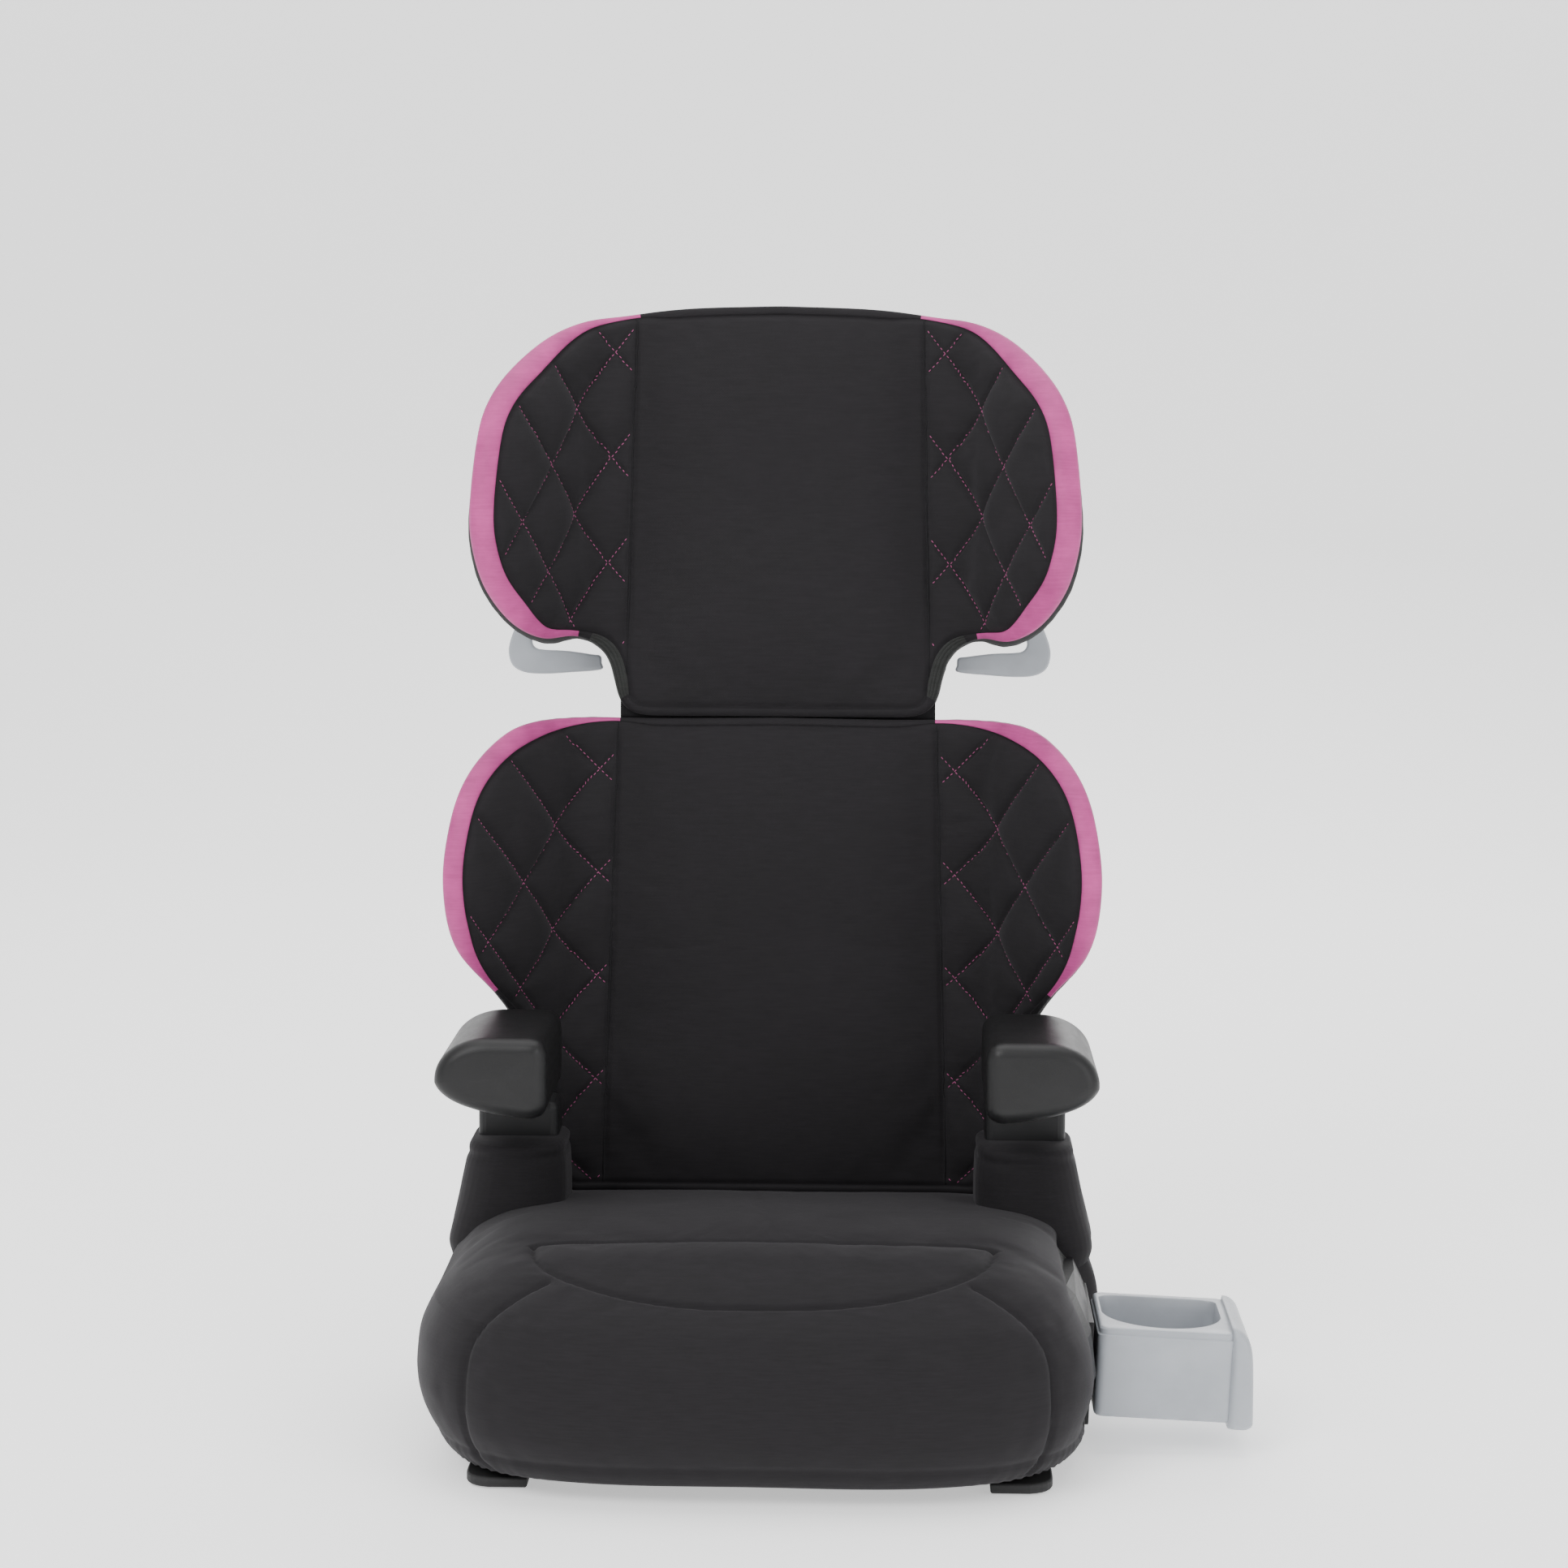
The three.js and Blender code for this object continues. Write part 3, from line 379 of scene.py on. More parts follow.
def smoothed_loop(values, times, axis=0):
    """Values evened out around a closed loop."""
    for _ in range(times):
        values = 0.5 * values + 0.25 * (np.roll(values, -1, axis=axis) + np.roll(values, 1, axis=axis))
    return values


def loop_direction(outline, times):
    """Unit direction along a closed outline at each point, evened out."""
    step = smoothed_loop(np.roll(outline, -1, axis=0) - np.roll(outline, 1, axis=0), times)
    return step / np.linalg.norm(step, axis=1, keepdims=True)


def rounded_rectangle(half_u, half_v, radius, count):
    """Closed outline of `count` even points around the origin. `radius` is one number, or one for
    each corner, in the order (+, +), (-, +), (-, -), (+, -)."""
    corners = []
    signs = ((1, 1), (-1, 1), (-1, -1), (1, -1))
    for turn, ((cu, cv), r) in enumerate(zip(signs, np.broadcast_to(radius, 4).tolist())):
        for angle in np.linspace(0, math.pi / 2, 9) + turn * math.pi / 2:
            corners.append((cu * (half_u - r) + r * math.cos(angle), cv * (half_v - r) + r * math.sin(angle)))
    corners.append(corners[0])
    return even(corners, count + 1)[:-1]


def vertex_normals(points, faces):
    """Outward or inward unit normals of a mesh, by its face order."""
    mesh = new_mesh("normals", points, faces)
    normals = np.zeros(len(points) * 3, np.float32)
    mesh.vertex_normals.foreach_get("vector", normals)
    bpy.data.meshes.remove(mesh)
    return normals.reshape(-1, 3).astype(float)


def distance_to(points, line):
    """Distance from each point to a polyline."""
    best = np.full(len(points), 1e9)
    for a, b in zip(line[:-1], line[1:]):
        along = b - a
        t = np.clip(((points - a) @ along) / max(along @ along, 1e-9), 0, 1)
        best = np.minimum(best, np.linalg.norm(points - a - t[:, None] * along, axis=1))
    return best


# ---- cloth simulation ----

CLOTH = {"quality": 5, "mass": 0.25, "tension_stiffness": 18, "compression_stiffness": 18,
         "shear_stiffness": 6, "bending_stiffness": 0.8, "use_pressure": True, "shrink_min": -0.02,
         "vertex_group_mass": "sewn", "pin_stiffness": 8}
DIMPLE = 0.8                   # furthest that a simulated cover sinks inwards


def swell(points, faces, held, pressure, cap, outward, frames=20):
    """Displacement, in millimetres, of a padded cover blown up by cloth simulation.
    `held` is 1 on points that are sewn down; no point rises further than `cap`.
    `outward` is 1 if the faces' normals point out of the padding and -1 if they point into it."""
    scene = bpy.context.scene
    obj = linked("cloth_work", new_mesh("cloth_work", points * MM, faces))
    group = obj.vertex_groups.new(name="sewn")
    for index in np.nonzero(held > 0.02)[0].tolist():
        group.add([index], float(held[index]), "REPLACE")
    modifier = obj.modifiers.new("cloth", "CLOTH")
    settings = modifier.settings
    for key, value in CLOTH.items():
        setattr(settings, key, value)
    settings.uniform_pressure_force = pressure
    settings.effector_weights.gravity = 0
    modifier.point_cache.frame_start = 1
    modifier.point_cache.frame_end = frames
    for number in range(1, frames + 1):
        scene.frame_set(number)
    evaluated = obj.evaluated_get(bpy.context.evaluated_depsgraph_get())
    moved = np.zeros(len(points) * 3, np.float32)
    evaluated.data.vertices.foreach_get("co", moved)
    scene.frame_set(1)
    bpy.data.objects.remove(obj)
    shift = moved.reshape(-1, 3) / MM - points
    normals = vertex_normals(points, faces)
    rise = np.einsum("ij,ij->i", shift, normals) * outward
    full = max(cap, float(np.percentile(rise, 95)))
    rise = np.where(rise > 0, cap * np.tanh(1.3 * rise / full), DIMPLE * np.tanh(rise / DIMPLE))
    return normals * (outward * rise)[:, None]


def refine(coarse, times):
    """Rings of values (rings, count, 3) made `times` finer both ways; each ring closes on itself."""
    rings, count, _ = coarse.shape
    wrapped = np.concatenate([coarse, coarse[:, :1]], axis=1)
    u = np.linspace(0, rings - 1, (rings - 1) * times + 1)
    v = np.arange(count * times) / times
    iu = np.minimum(u.astype(int), rings - 2)
    iv = v.astype(int)
    fu = (u - iu)[:, None, None]
    fv = (v - iv)[None, :, None]
    low = wrapped[iu][:, iv] * (1 - fv) + wrapped[iu][:, iv + 1] * fv
    high = wrapped[iu + 1][:, iv] * (1 - fv) + wrapped[iu + 1][:, iv + 1] * fv
    fine = low * (1 - fu) + high * fu
    for _ in range(times):
        fine = smoothed(smoothed_loop(fine, 1, axis=1), 1)
    return fine


# ---- sewn details ----

STITCH = {"pitch": 3.5, "length": 2.0, "radius": 0.3}


def stitches(name, runs, body):
    """Thread dashes; each run is (points, normals) along a seam, in millimetres."""
    radius, length = STITCH["radius"], STITCH["length"]
    template = [(-0.5 * length, 0, 0)]
    sides = 6
    for along, wide in ((-0.36, 0.8), (0.0, 1.0), (0.36, 0.8)):
        for k in range(sides):
            angle = 2 * math.pi * k / sides
            template.append((along * length, wide * radius * math.cos(angle),
                             wide * radius * math.sin(angle)))
    template.append((0.5 * length, 0, 0))
    template = np.array(template)
    unit = ring_faces(3, sides)
    points, faces = [], []
    for line, normals in runs:
        reach = reach_along(line)
        for at in np.arange(STITCH["pitch"] * 0.6, reach[-1] - STITCH["pitch"] * 0.5, STITCH["pitch"]):
            centre = np.array([np.interp(at, reach, line[:, i]) for i in range(3)])
            ahead = np.array([np.interp(at + 0.8, reach, line[:, i]) for i in range(3)])
            normal = normals[min(int(np.searchsorted(reach, at)), len(normals) - 1)]
            along = ahead - centre
            along /= max(np.linalg.norm(along), 1e-9)
            side = np.cross(normal, along)
            side /= max(np.linalg.norm(side), 1e-9)
            basis = np.stack([along, side, np.cross(along, side)])
            first = len(points) * len(template)
            points.append(template @ basis + centre + normal * radius * 0.35)
            faces += [tuple(first + i for i in face) for face in unit]
    piece(name, np.vstack(points), faces, [THREAD], body, BACK_FRAME)


def swept_band(name, line, normals, profile, material, body, matrix=SEAT):
    """A closed band of cloth along a line; the profile is (across, proud) points around it."""
    line = np.asarray(line, float)
    tangent = np.gradient(line, axis=0)
    tangent /= np.linalg.norm(tangent, axis=1, keepdims=True)
    across = np.cross(tangent, normals)
    across /= np.linalg.norm(across, axis=1, keepdims=True)
    proud = np.cross(across, tangent)
    rings = [line[i] + profile[:, :1] * across[i] + profile[:, 1:] * proud[i] for i in range(len(line))]
    points, faces = closed_rings(rings)
    reach = reach_along(line)
    cloth = np.zeros_like(points)
    cloth[1:-1, 0] = np.tile(np.cumsum(np.full(len(profile), 0.6)), len(line))
    cloth[1:-1, 1] = np.repeat(reach, len(profile))
    piece(name, points, faces, [material], body, matrix, cloth=cloth)


def ribbed_profile(width, thickness, ribs, samples=8):
    """Section of a ribbed elastic: rounded ribs on its outer side, flat inside."""
    u = np.linspace(0, 1, ribs * samples + 1)
    outer = thickness * (0.62 + 0.38 * np.abs(np.sin(math.pi * ribs * u)) ** 0.7)
    top = np.stack([(u - 0.5) * width, outer], axis=1)
    bottom = np.stack([(0.5 - u[::4]) * width, np.full(len(u[::4]), -thickness * 0.5)], axis=1)
    return np.vstack([top, bottom])


# ---- winged pads: headrest and back ----

FACE_Y = -48.0                 # visible face of both centre panels, in the back's frame
SHELL_FLARE = math.radians(56)
FACE_FLARE = math.radians(59)  # the padded wing is a little fuller than the shell behind it
HEM_DEPTH = 24.0
LINING_DEPTH = 18.6

HEAD = {
    "name": "headrest", "centre": 96.0, "bend": 44.0, "middle": 500.0,
    "outline": [
        (0, 630), (60, 628), (101, 623), (127, 618), (149, 605), (168, 585), (182, 562), (189, 536),
        (193, 485), (189, 455), (181, 435), (167, 418), (149, 410), (130, 413), (113, 402), (107, 384),
        (103.5, 371), (97, 364.6), (88, 362), (72, 361.7), (0, 361.7)],
    "seam_top": 93.5, "seam_bottom": 99.5, "low": 361.7, "high": 630.0,
    "quilt": ((1.3, 614.0, 66.0, 0), (-1.1, 515.0, 71.0, 6)),
    "trim_start": (92.0, 624.0), "trim_end": (130.0, 413.0), "trim_width": 16.5, "trim_tip": 2.2,
    "binding": ((128.0, 413.0), (103.5, 372.0), 9.0), "hem": 5.5,
    "replaces": ("headrest_cover", "headrest_foam", "headrest_wing_foam_left", "headrest_wing_foam_right"),
}
BACK = {
    "name": "back", "centre": 106.0, "bend": 46.0, "middle": 215.0,
    "outline": [
        (0, 361), (70, 360), (130, 360), (162, 355), (181, 341), (196, 318), (204, 289), (207, 252),
        (200, 214), (176, 183), (162, 158), (151, 126), (146, 92), (144.5, 66), (140.5, 55.5), (132, 50.6),
        (118, 50), (0, 50)],
    "seam_top": 104.0, "seam_bottom": 112.0, "low": 50.0, "high": 361.0,
    "quilt": ((1.05, 337.0, 67.0, 0), (-0.9, 249.5, 68.0, 6)),
    "trim_start": (104.0, 360.0), "trim_end": (177.0, 184.0), "trim_width": 13.5, "trim_tip": 2.0,
    "binding": None, "hem": 5.0,
    "replaces": ("back_cover", "back_foam", "back_wing_foam_left", "back_wing_foam_right"),
}


def sheet_y(x, spec, depth, flare):
    """How far back the winged sheet lies at a front-view x, `depth` behind the visible face."""
    radius = spec["bend"] + depth
    out = np.abs(x) - spec["centre"]
    angle = np.arcsin(np.clip(out / radius, 0, math.sin(flare)))
    straight = np.maximum(out - radius * math.sin(flare), 0)
    return FACE_Y - spec["bend"] + radius * np.cos(angle) - straight * math.tan(flare)


def unfold(x, spec):
    """Distance along the visible face from the middle, for a front-view x."""
    out = np.abs(x) - spec["centre"]
    angle = np.arcsin(np.clip(out / spec["bend"], 0, math.sin(FACE_FLARE)))
    straight = np.maximum(out - spec["bend"] * math.sin(FACE_FLARE), 0) / math.cos(FACE_FLARE)
    return np.sign(x) * (np.minimum(np.abs(x), spec["centre"]) + spec["bend"] * angle + straight)


def fold(s, spec):
    """Front-view x and the wing's angle at a distance along the visible face."""
    out = np.maximum(np.abs(s) - spec["centre"], 0)
    angle = np.clip(out / spec["bend"], 0, FACE_FLARE)
    straight = np.maximum(out - spec["bend"] * FACE_FLARE, 0)
    x = np.minimum(np.abs(s), spec["centre"]) + spec["bend"] * np.sin(angle) + straight * math.cos(FACE_FLARE)
    return np.sign(s) * x, angle


def face_point(s, z, proud, spec):
    """Point and outward normal on the visible face; `proud` lifts it towards the child."""
    x, angle = fold(s, spec)
    normal = np.stack([-np.sign(s) * np.sin(angle), -np.cos(angle), np.zeros_like(s)], axis=-1)
    y = sheet_y(x, spec, 0.0, FACE_FLARE)
    point = np.stack([x, y, z], axis=-1) + normal * np.asarray(proud)[..., None]
    return point, normal


def seam_at(z, spec):
    """How far out the seam beside the centre panel lies at a height."""
    t = (spec["high"] - z) / (spec["high"] - spec["low"])
    return spec["seam_top"] + (spec["seam_bottom"] - spec["seam_top"]) * t


def seam_offset(s, z, spec):
    """Signed distance outwards from the seams beside the centre panel."""
    return np.abs(s) - seam_at(z, spec)


def quilt_distance(s, z, family, spec):
    """Distance to the nearest line of one family of quilting lines."""
    slope, start, pitch, top = family
    out = np.abs(s) - spec["centre"]
    phase = (z + slope * out - start) / pitch
    line = np.minimum(np.round(phase), top)
    return np.abs(phase - line) * pitch / math.sqrt(1 + slope * slope)


PILLOW = 5.2
CROWN = 6.0


def relief(s, z, edge, spec):
    """How proud the padded face stands, in millimetres; `edge` is the distance to the rim seam."""
    beside = seam_offset(s, z, spec)
    first = quilt_distance(s, z, spec["quilt"][0], spec)
    second = quilt_distance(s, z, spec["quilt"][1], spec)
    rise = (1 - np.exp(-first / 6.5)) * (1 - np.exp(-second / 6.5))
    crease = np.exp(-(first / 1.5) ** 2) + np.exp(-(second / 1.5) ** 2)
    wing = PILLOW * rise - 1.1 * np.minimum(crease, 1.2)
    wing = wing * (1 - np.exp(-np.maximum(beside, 0) / 5.0))
    half = (spec["seam_top"] + spec["seam_bottom"]) / 2
    across = np.clip(np.abs(s) / half, 0, 1)
    height = (spec["high"] - spec["low"]) / 2
    up = np.clip(np.abs(z - spec["middle"]) / height, 0, 1)
    centre = CROWN * (1 - across ** 3) * (1 - 0.6 * up ** 4) + 0.5 * wander(s / 37, z / 46, 2.0)
    proud = np.where(beside > 0, wing, centre)
    pucker = 0.12 * np.sin(2 * math.pi * z / 9.5 + 1.5 * np.sin(z / 31)) * np.exp(-np.abs(beside) / 5.0)
    proud = proud + pucker - 1.7 * np.exp(-(beside / 1.6) ** 2)
    tuck = 1 - np.exp(-np.maximum(edge, 0) / 6.0)
    return proud * tuck - 1.6 * np.exp(-(edge / 2.2) ** 2)


def near(line, target):
    return int(np.argmin(np.linalg.norm(line - np.array(target), axis=1)))


FACE, TRIM, BINDING, HEM = range(4)     # materials of a pad, in the order it holds them


class Rim:
    """Outline of a winged pad with its rim band, point by point around the loop."""

    def __init__(self, spec, count):
        half = count // 2
        right = catmull(spec["outline"], 60)
        flat = np.stack([unfold(right[:, 0], spec), right[:, 1]], axis=1)
        joined = even(np.hstack([flat, right]), half + 1)
        right = joined[:, 2:]
        left = right[1:-1][::-1] * (-1, 1)
        self.outline = smoothed_loop(np.vstack([right, left]), 16)
        step = loop_direction(self.outline, 30)
        self.inward = np.stack([step[:, 1], -step[:, 0]], axis=1)
        start, end = near(right, spec["trim_start"]), near(right, spec["trim_end"])
        place = np.arange(half + 1)
        t = np.clip((place - start) / (end - start), 0, 1)
        width = spec["trim_tip"] + (spec["trim_width"] - spec["trim_tip"]) * (
            smooth_step(t, 0.0, 0.3) * (1 - 0.93 * smooth_step(t, 0.8, 1.0)))
        before = smooth_step(place, start - 12, start)
        after = smooth_step(place, end + 1, end + 12)
        width = width * before + spec["hem"] * (1 - before)
        width = width * (1 - after) + spec["hem"] * after
        kind = np.full(half + 1, FACE)
        kind[start:end] = TRIM
        if spec["binding"]:
            first, last = near(right, spec["binding"][0]), near(right, spec["binding"][1])
            inside = smooth_step(place, first, first + 10) * (1 - smooth_step(place, last - 6, last + 4))
            width = width + (spec["binding"][2] - width) * inside
            kind[first + 4:last] = BINDING
        width = smoothed(width, 24)
        self.width = np.concatenate([width, width[1:-1][::-1]])
        self.kind = np.concatenate([kind[:-1], kind[:-1][::-1]])
        self.seam = self.outline + self.inward * self.width[:, None]
        self.pinned = np.stack([unfold(self.seam[:, 0], spec), self.seam[:, 1]], axis=1)


def inset(rim, amount):
    return rim.outline + rim.inward * np.reshape(amount, (-1, 1))


FACE_RINGS = 120
TRIM_RINGS = 24
RIM_POINTS = 720
SIDE_INSETS = ((0.12, 0.0), (0.3, -0.3), (0.5, -0.4), (0.7, 0.0), (0.86, 0.6), (0.95, 1.6), (1.0, 3.4))
LINING_SCALES = (0.985, 0.95, 0.85, 0.7, 0.5, 0.3, 0.1)
COARSEN = 4
HEM_BULGE = 2.6                # how far the black hem stands out beside the lower part of each wing
TRIM_ARCH = {"share": 0.40, "most": 6.5}     # height of the rolled edge, as a share of its width
RIB_HEIGHT = 0.95
HEM_STEPS = ((6.4, HEM_DEPTH - 0.2), (6.6, HEM_DEPTH - 2.5), (6.8, LINING_DEPTH + 1), (9.0, LINING_DEPTH))


def winged_pad(spec, body, pressure, cap):
    rim = Rim(spec, RIM_POINTS)
    centre = np.array([0.0, spec["middle"]])
    spokes = rim.pinned - centre
    shares = np.linspace(0, 1, FACE_RINGS + 1)
    s = centre[0] + shares[:, None] * spokes[:, 0]
    z = centre[1] + shares[:, None] * spokes[:, 1]
    loop = np.vstack([rim.pinned[::3], rim.pinned[:1]])
    edge = distance_to(np.stack([s.ravel(), z.ravel()], axis=1), loop).reshape(s.shape)

    # the face swells between its seams, at a coarser spacing
    soft, _ = face_point(s, z, 0.8 * CROWN * (1 - np.exp(-edge / 25.0)) * (seam_offset(s, z, spec) < 0), spec)
    coarse = soft[::COARSEN, ::COARSEN]
    rings, count = coarse.shape[:2]
    points, faces = pole_points(coarse), pole_faces(rings - 1, count)
    held = np.exp(-np.abs(seam_offset(s, z, spec)) / 5.0) + np.exp(-edge / 5.0)
    held = np.clip(held[::COARSEN, ::COARSEN], 0, 1)
    held = np.concatenate([held[0, :1], held[1:].ravel()])
    facing = -1 if vertex_normals(points, faces)[0, 1] > 0 else 1
    shift = swell(points, faces, held, facing * pressure, cap, facing)
    shift = refine(pole_grid(shift, rings, count), COARSEN)

    face, _ = face_point(s, z, relief(s, z, edge, spec), spec)
    face = face + shift * (1 - np.exp(-edge / 6.0))[..., None]
    layers = list(face[1:])
    cloth = [np.stack([s[i], z[i], 0 * s[i]], axis=1) for i in range(1, FACE_RINGS + 1)]

    # rim band: a rolled edge from the seam over to the pad's side
    seam_y = face[-1][:, 1]
    arch = np.minimum(TRIM_ARCH["share"] * rim.width, TRIM_ARCH["most"])
    ribbed = rim.kind == BINDING
    for k in range(1, TRIM_RINGS + 1):
        u = 1 - k / TRIM_RINGS
        flat = rim.seam + (rim.outline - rim.seam) * (1 - u)
        lift = arch * math.sqrt(max(0.0, 1 - (2 * u - 1) ** 2)) ** 0.85
        lift = lift + np.where(ribbed, RIB_HEIGHT * abs(math.sin(4 * math.pi * u)), 0.0)
        layers.append(at_depth(flat, seam_y - lift + 1.5 * (1 - u)))
        side = cloth[-1].copy()
        side[:, 1] += rim.width / TRIM_RINGS
        cloth.append(side)

    # side wall and rear hem, then the lining in front of the shell
    start_y = layers[-1][:, 1]
    end_y = sheet_y(rim.outline[:, 0], spec, HEM_DEPTH, SHELL_FLARE)
    gather = 0.5 * np.sin(np.arange(RIM_POINTS) * 2 * math.pi / 7.0)
    gather = gather + 0.4 * wander(rim.outline[:, 0] / 9, rim.outline[:, 1] / 9, 5.0)
    x, z_out = np.abs(rim.outline[:, 0]), rim.outline[:, 1]
    shows = smooth_step(x, spec["centre"] + 20, spec["centre"] + 55)
    shows = shows * (1 - smooth_step(z_out, spec["middle"] - 60, spec["middle"] + 20))
    meets = spec["high"] if spec["name"] == "back" else spec["low"]
    flush = (1 - smooth_step(x, 100, 125)) * (1 - smooth_step(np.abs(z_out - meets), 3, 10))
    for share, amount in SIDE_INSETS:
        amount = amount * (1 - 0.92 * flush)
        bulge = HEM_BULGE * shows * math.sin(math.pi * min(1.0, share * 1.15)) ** 0.6
        flat = inset(rim, amount + 0.35 * gather * share * (1 - flush) - bulge)
        layers.append(at_depth(flat, start_y + (end_y - start_y) * share))
        cloth.append(cloth[-1] + (0, 4.0, 0))
    for amount, depth in HEM_STEPS:
        flat = inset(rim, amount)
        layers.append(at_depth(flat, sheet_y(flat[:, 0], spec, depth, SHELL_FLARE)))
        cloth.append(cloth[-1] + (0, 3.0, 0))
    edge_flat = inset(rim, HEM_STEPS[-1][0])
    for share in LINING_SCALES:
        flat = centre + (edge_flat - centre) * share
        layers.append(at_depth(flat, sheet_y(flat[:, 0], spec, LINING_DEPTH, SHELL_FLARE)))
        cloth.append(cloth[-1])

    points, faces = closed_rings(layers)
    cloth = np.vstack([cloth[0].mean(0)[None], *cloth, cloth[-1].mean(0)[None]])
    kinds = np.full((len(layers) - 1, RIM_POINTS), FACE)
    kinds[FACE_RINGS - 1:FACE_RINGS - 1 + TRIM_RINGS] = rim.kind
    kinds[FACE_RINGS - 1 + TRIM_RINGS:] = HEM
    face_kinds = np.concatenate([np.full(RIM_POINTS, FACE), kinds.ravel(), np.full(RIM_POINTS, HEM)])
    pad = piece(spec["name"] + "_pad", points, faces, [JERSEY, PINK, ELASTIC, DARK_CLOTH], body,
                BACK_FRAME, face_kinds, cloth)
    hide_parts(*spec["replaces"])
    tree = BVHTree.FromPolygons(
        face[1:].reshape(-1, 3).tolist(), ring_faces(FACE_RINGS, RIM_POINTS, caps=False))
    stitches(spec["name"] + "_stitching", quilt_runs(spec, rim, tree), body)
    centre_seams(spec, rim, tree, body)


def inside(polygon, u, v):
    """Even-odd test of points against a closed polygon."""
    result = np.zeros(len(u), bool)
    a, b = polygon, np.roll(polygon, -1, axis=0)
    for (u0, v0), (u1, v1) in zip(a, b):
        if v0 == v1:
            continue
        crosses = ((v0 > v) != (v1 > v)) & (u < (u1 - u0) * (v - v0) / (v1 - v0) + u0)
        result ^= crosses
    return result


SEAM_CORD = 0.55


def cord_profile(radius, samples=10):
    angle = np.linspace(0, 2 * math.pi, samples, endpoint=False)
    return radius * np.stack([np.cos(angle), np.sin(angle)], axis=1)


def centre_seams(spec, rim, tree, body):
    """The tight dark seams on either side of the centre panel."""
    z = np.linspace(spec["low"] + 1, spec["high"] - 1, 240)
    s = seam_at(z, spec)
    keep = inside(rim.pinned[::3], s, z)
    base, normal = face_point(s[keep], z[keep], np.zeros(keep.sum()), spec)
    line = smoothed([tree.find_nearest(Vector(p))[0] for p in base], 4)
    for side, sign in SIDES:
        swept_band(f"{spec['name']}_seam_{side}", line * (sign, 1, 1), normal * (sign, 1, 1),
                   cord_profile(SEAM_CORD), DARK_CLOTH, body, BACK_FRAME)


def quilt_runs(spec, rim, tree):
    """Lines of thread along the quilting, laid on the padded face."""
    boundary = rim.pinned[::6]
    runs = []
    for slope, start, pitch, top in spec["quilt"]:
        for number in range(-6, top + 1):
            out = np.arange(-spec["centre"] * 0.1, 150.0, 0.9)
            z = start + pitch * number - slope * out
            s = spec["centre"] + out
            edge = distance_to(np.stack([s, z], axis=1), np.vstack([boundary, boundary[:1]]))
            keep = (seam_offset(s, z, spec) > 1.5) & inside(boundary, s, z) & (edge > 1.2)
            if keep.sum() < 6:
                continue
            s, z = s[keep], z[keep]
            base, normal = face_point(s, z, np.zeros_like(s), spec)
            line = np.array([tree.find_nearest(Vector(p))[0] for p in base])
            for sign in (-1, 1):
                runs.append((line * (sign, 1, 1), normal * (sign, 1, 1)))
    return runs


def neck_lip():
    """Folded edge of the headrest's cover that closes the line between the two pads."""
    x = np.linspace(-NECK_LIP["half"], NECK_LIP["half"], 105)
    low = np.interp(np.abs(x), *zip(*BACK["outline"][:3])) - NECK_LIP["sunk"]
    middle, tall = (low + NECK_LIP["high"]) / 2, (NECK_LIP["high"] - low) / 2
    y = sheet_y(x, HEAD, NECK_LIP["depth"], SHELL_FLARE)
    rings = []
    for i in range(len(x)):
        flat = rounded_rectangle(NECK_LIP["thickness"] / 2, tall[i], NECK_LIP["thickness"] * 0.45, 32)
        rings.append(at_side(flat + (y[i], middle[i]), x[i]))
    points, faces = closed_rings(rings)
    piece("headrest_neck_lip", points, faces, [DARK_CLOTH], "headrest", BACK_FRAME)


NECK_LIP = {"half": 103.2, "sunk": 0.5, "high": 373.0, "depth": 10.0, "thickness": 6.0}

winged_pad(HEAD, "headrest", pressure=4.0, cap=4.0)
winged_pad(BACK, "back", pressure=4.0, cap=4.0)
neck_lip()


# ---- seat cushion ----

BASE_REAR = 146.0
BASE_HEM = 11.0
SHOULDER_Z = 100.0
# half-width and front edge of the cushion at each height
BASE_LEVELS = np.array([
    (11, 191, -197), (20, 198, -204), (38, 206, -211), (55, 210, -213), (80, 207.5, -210), (100, 199, -199)])
# height of the top at each share of the way out from the middle, and down its centre line
DOME = np.array([(0, 141), (0.4, 138.5), (0.657, 132), (0.808, 123), (0.929, 112), (1.0, 100)])
PROFILE = np.array([
    (-230, 88), (-205, 98), (-185, 108), (-160, 119), (-130, 126.5), (-95, 129), (-50, 125), (0, 121),
    (110, 110), (200, 107)])
FRONT_CORNER = 3.8
REAR_CORNER = 7.0


def seat_section(share, half, front, rear, angle):
    middle, depth = (front + rear) / 2, (rear - front) / 2
    corner = np.where(np.sin(angle) > 0, REAR_CORNER, FRONT_CORNER)
    x = half * np.sign(np.cos(angle)) * np.abs(np.cos(angle)) ** (2 / corner)
    y = depth * np.sign(np.sin(angle)) * np.abs(np.sin(angle)) ** (2 / corner)
    return x * share, middle + y * share


def even_angles(count):
    """Angles that space the points of the base's outline evenly."""
    dense = np.linspace(0, 2 * math.pi, 40001)
    x, y = seat_section(1.0, 205.0, -210.0, BASE_REAR, dense)
    reach = np.concatenate([[0], np.cumsum(np.hypot(np.diff(x), np.diff(y)))])
    return np.interp(np.linspace(0, reach[-1], count, endpoint=False), reach, dense), reach[-1]


def soft_min(a, b, width):
    blend = np.clip(0.5 + 0.5 * (b - a) / width, 0, 1)
    return b + (a - b) * blend - width * blend * (1 - blend)


SEAT_POINTS = 640
TOP_RINGS = 96
SIDE_RINGS = 44
LEVEL_ROUNDING = 10            # how often the corners between the levels are evened out


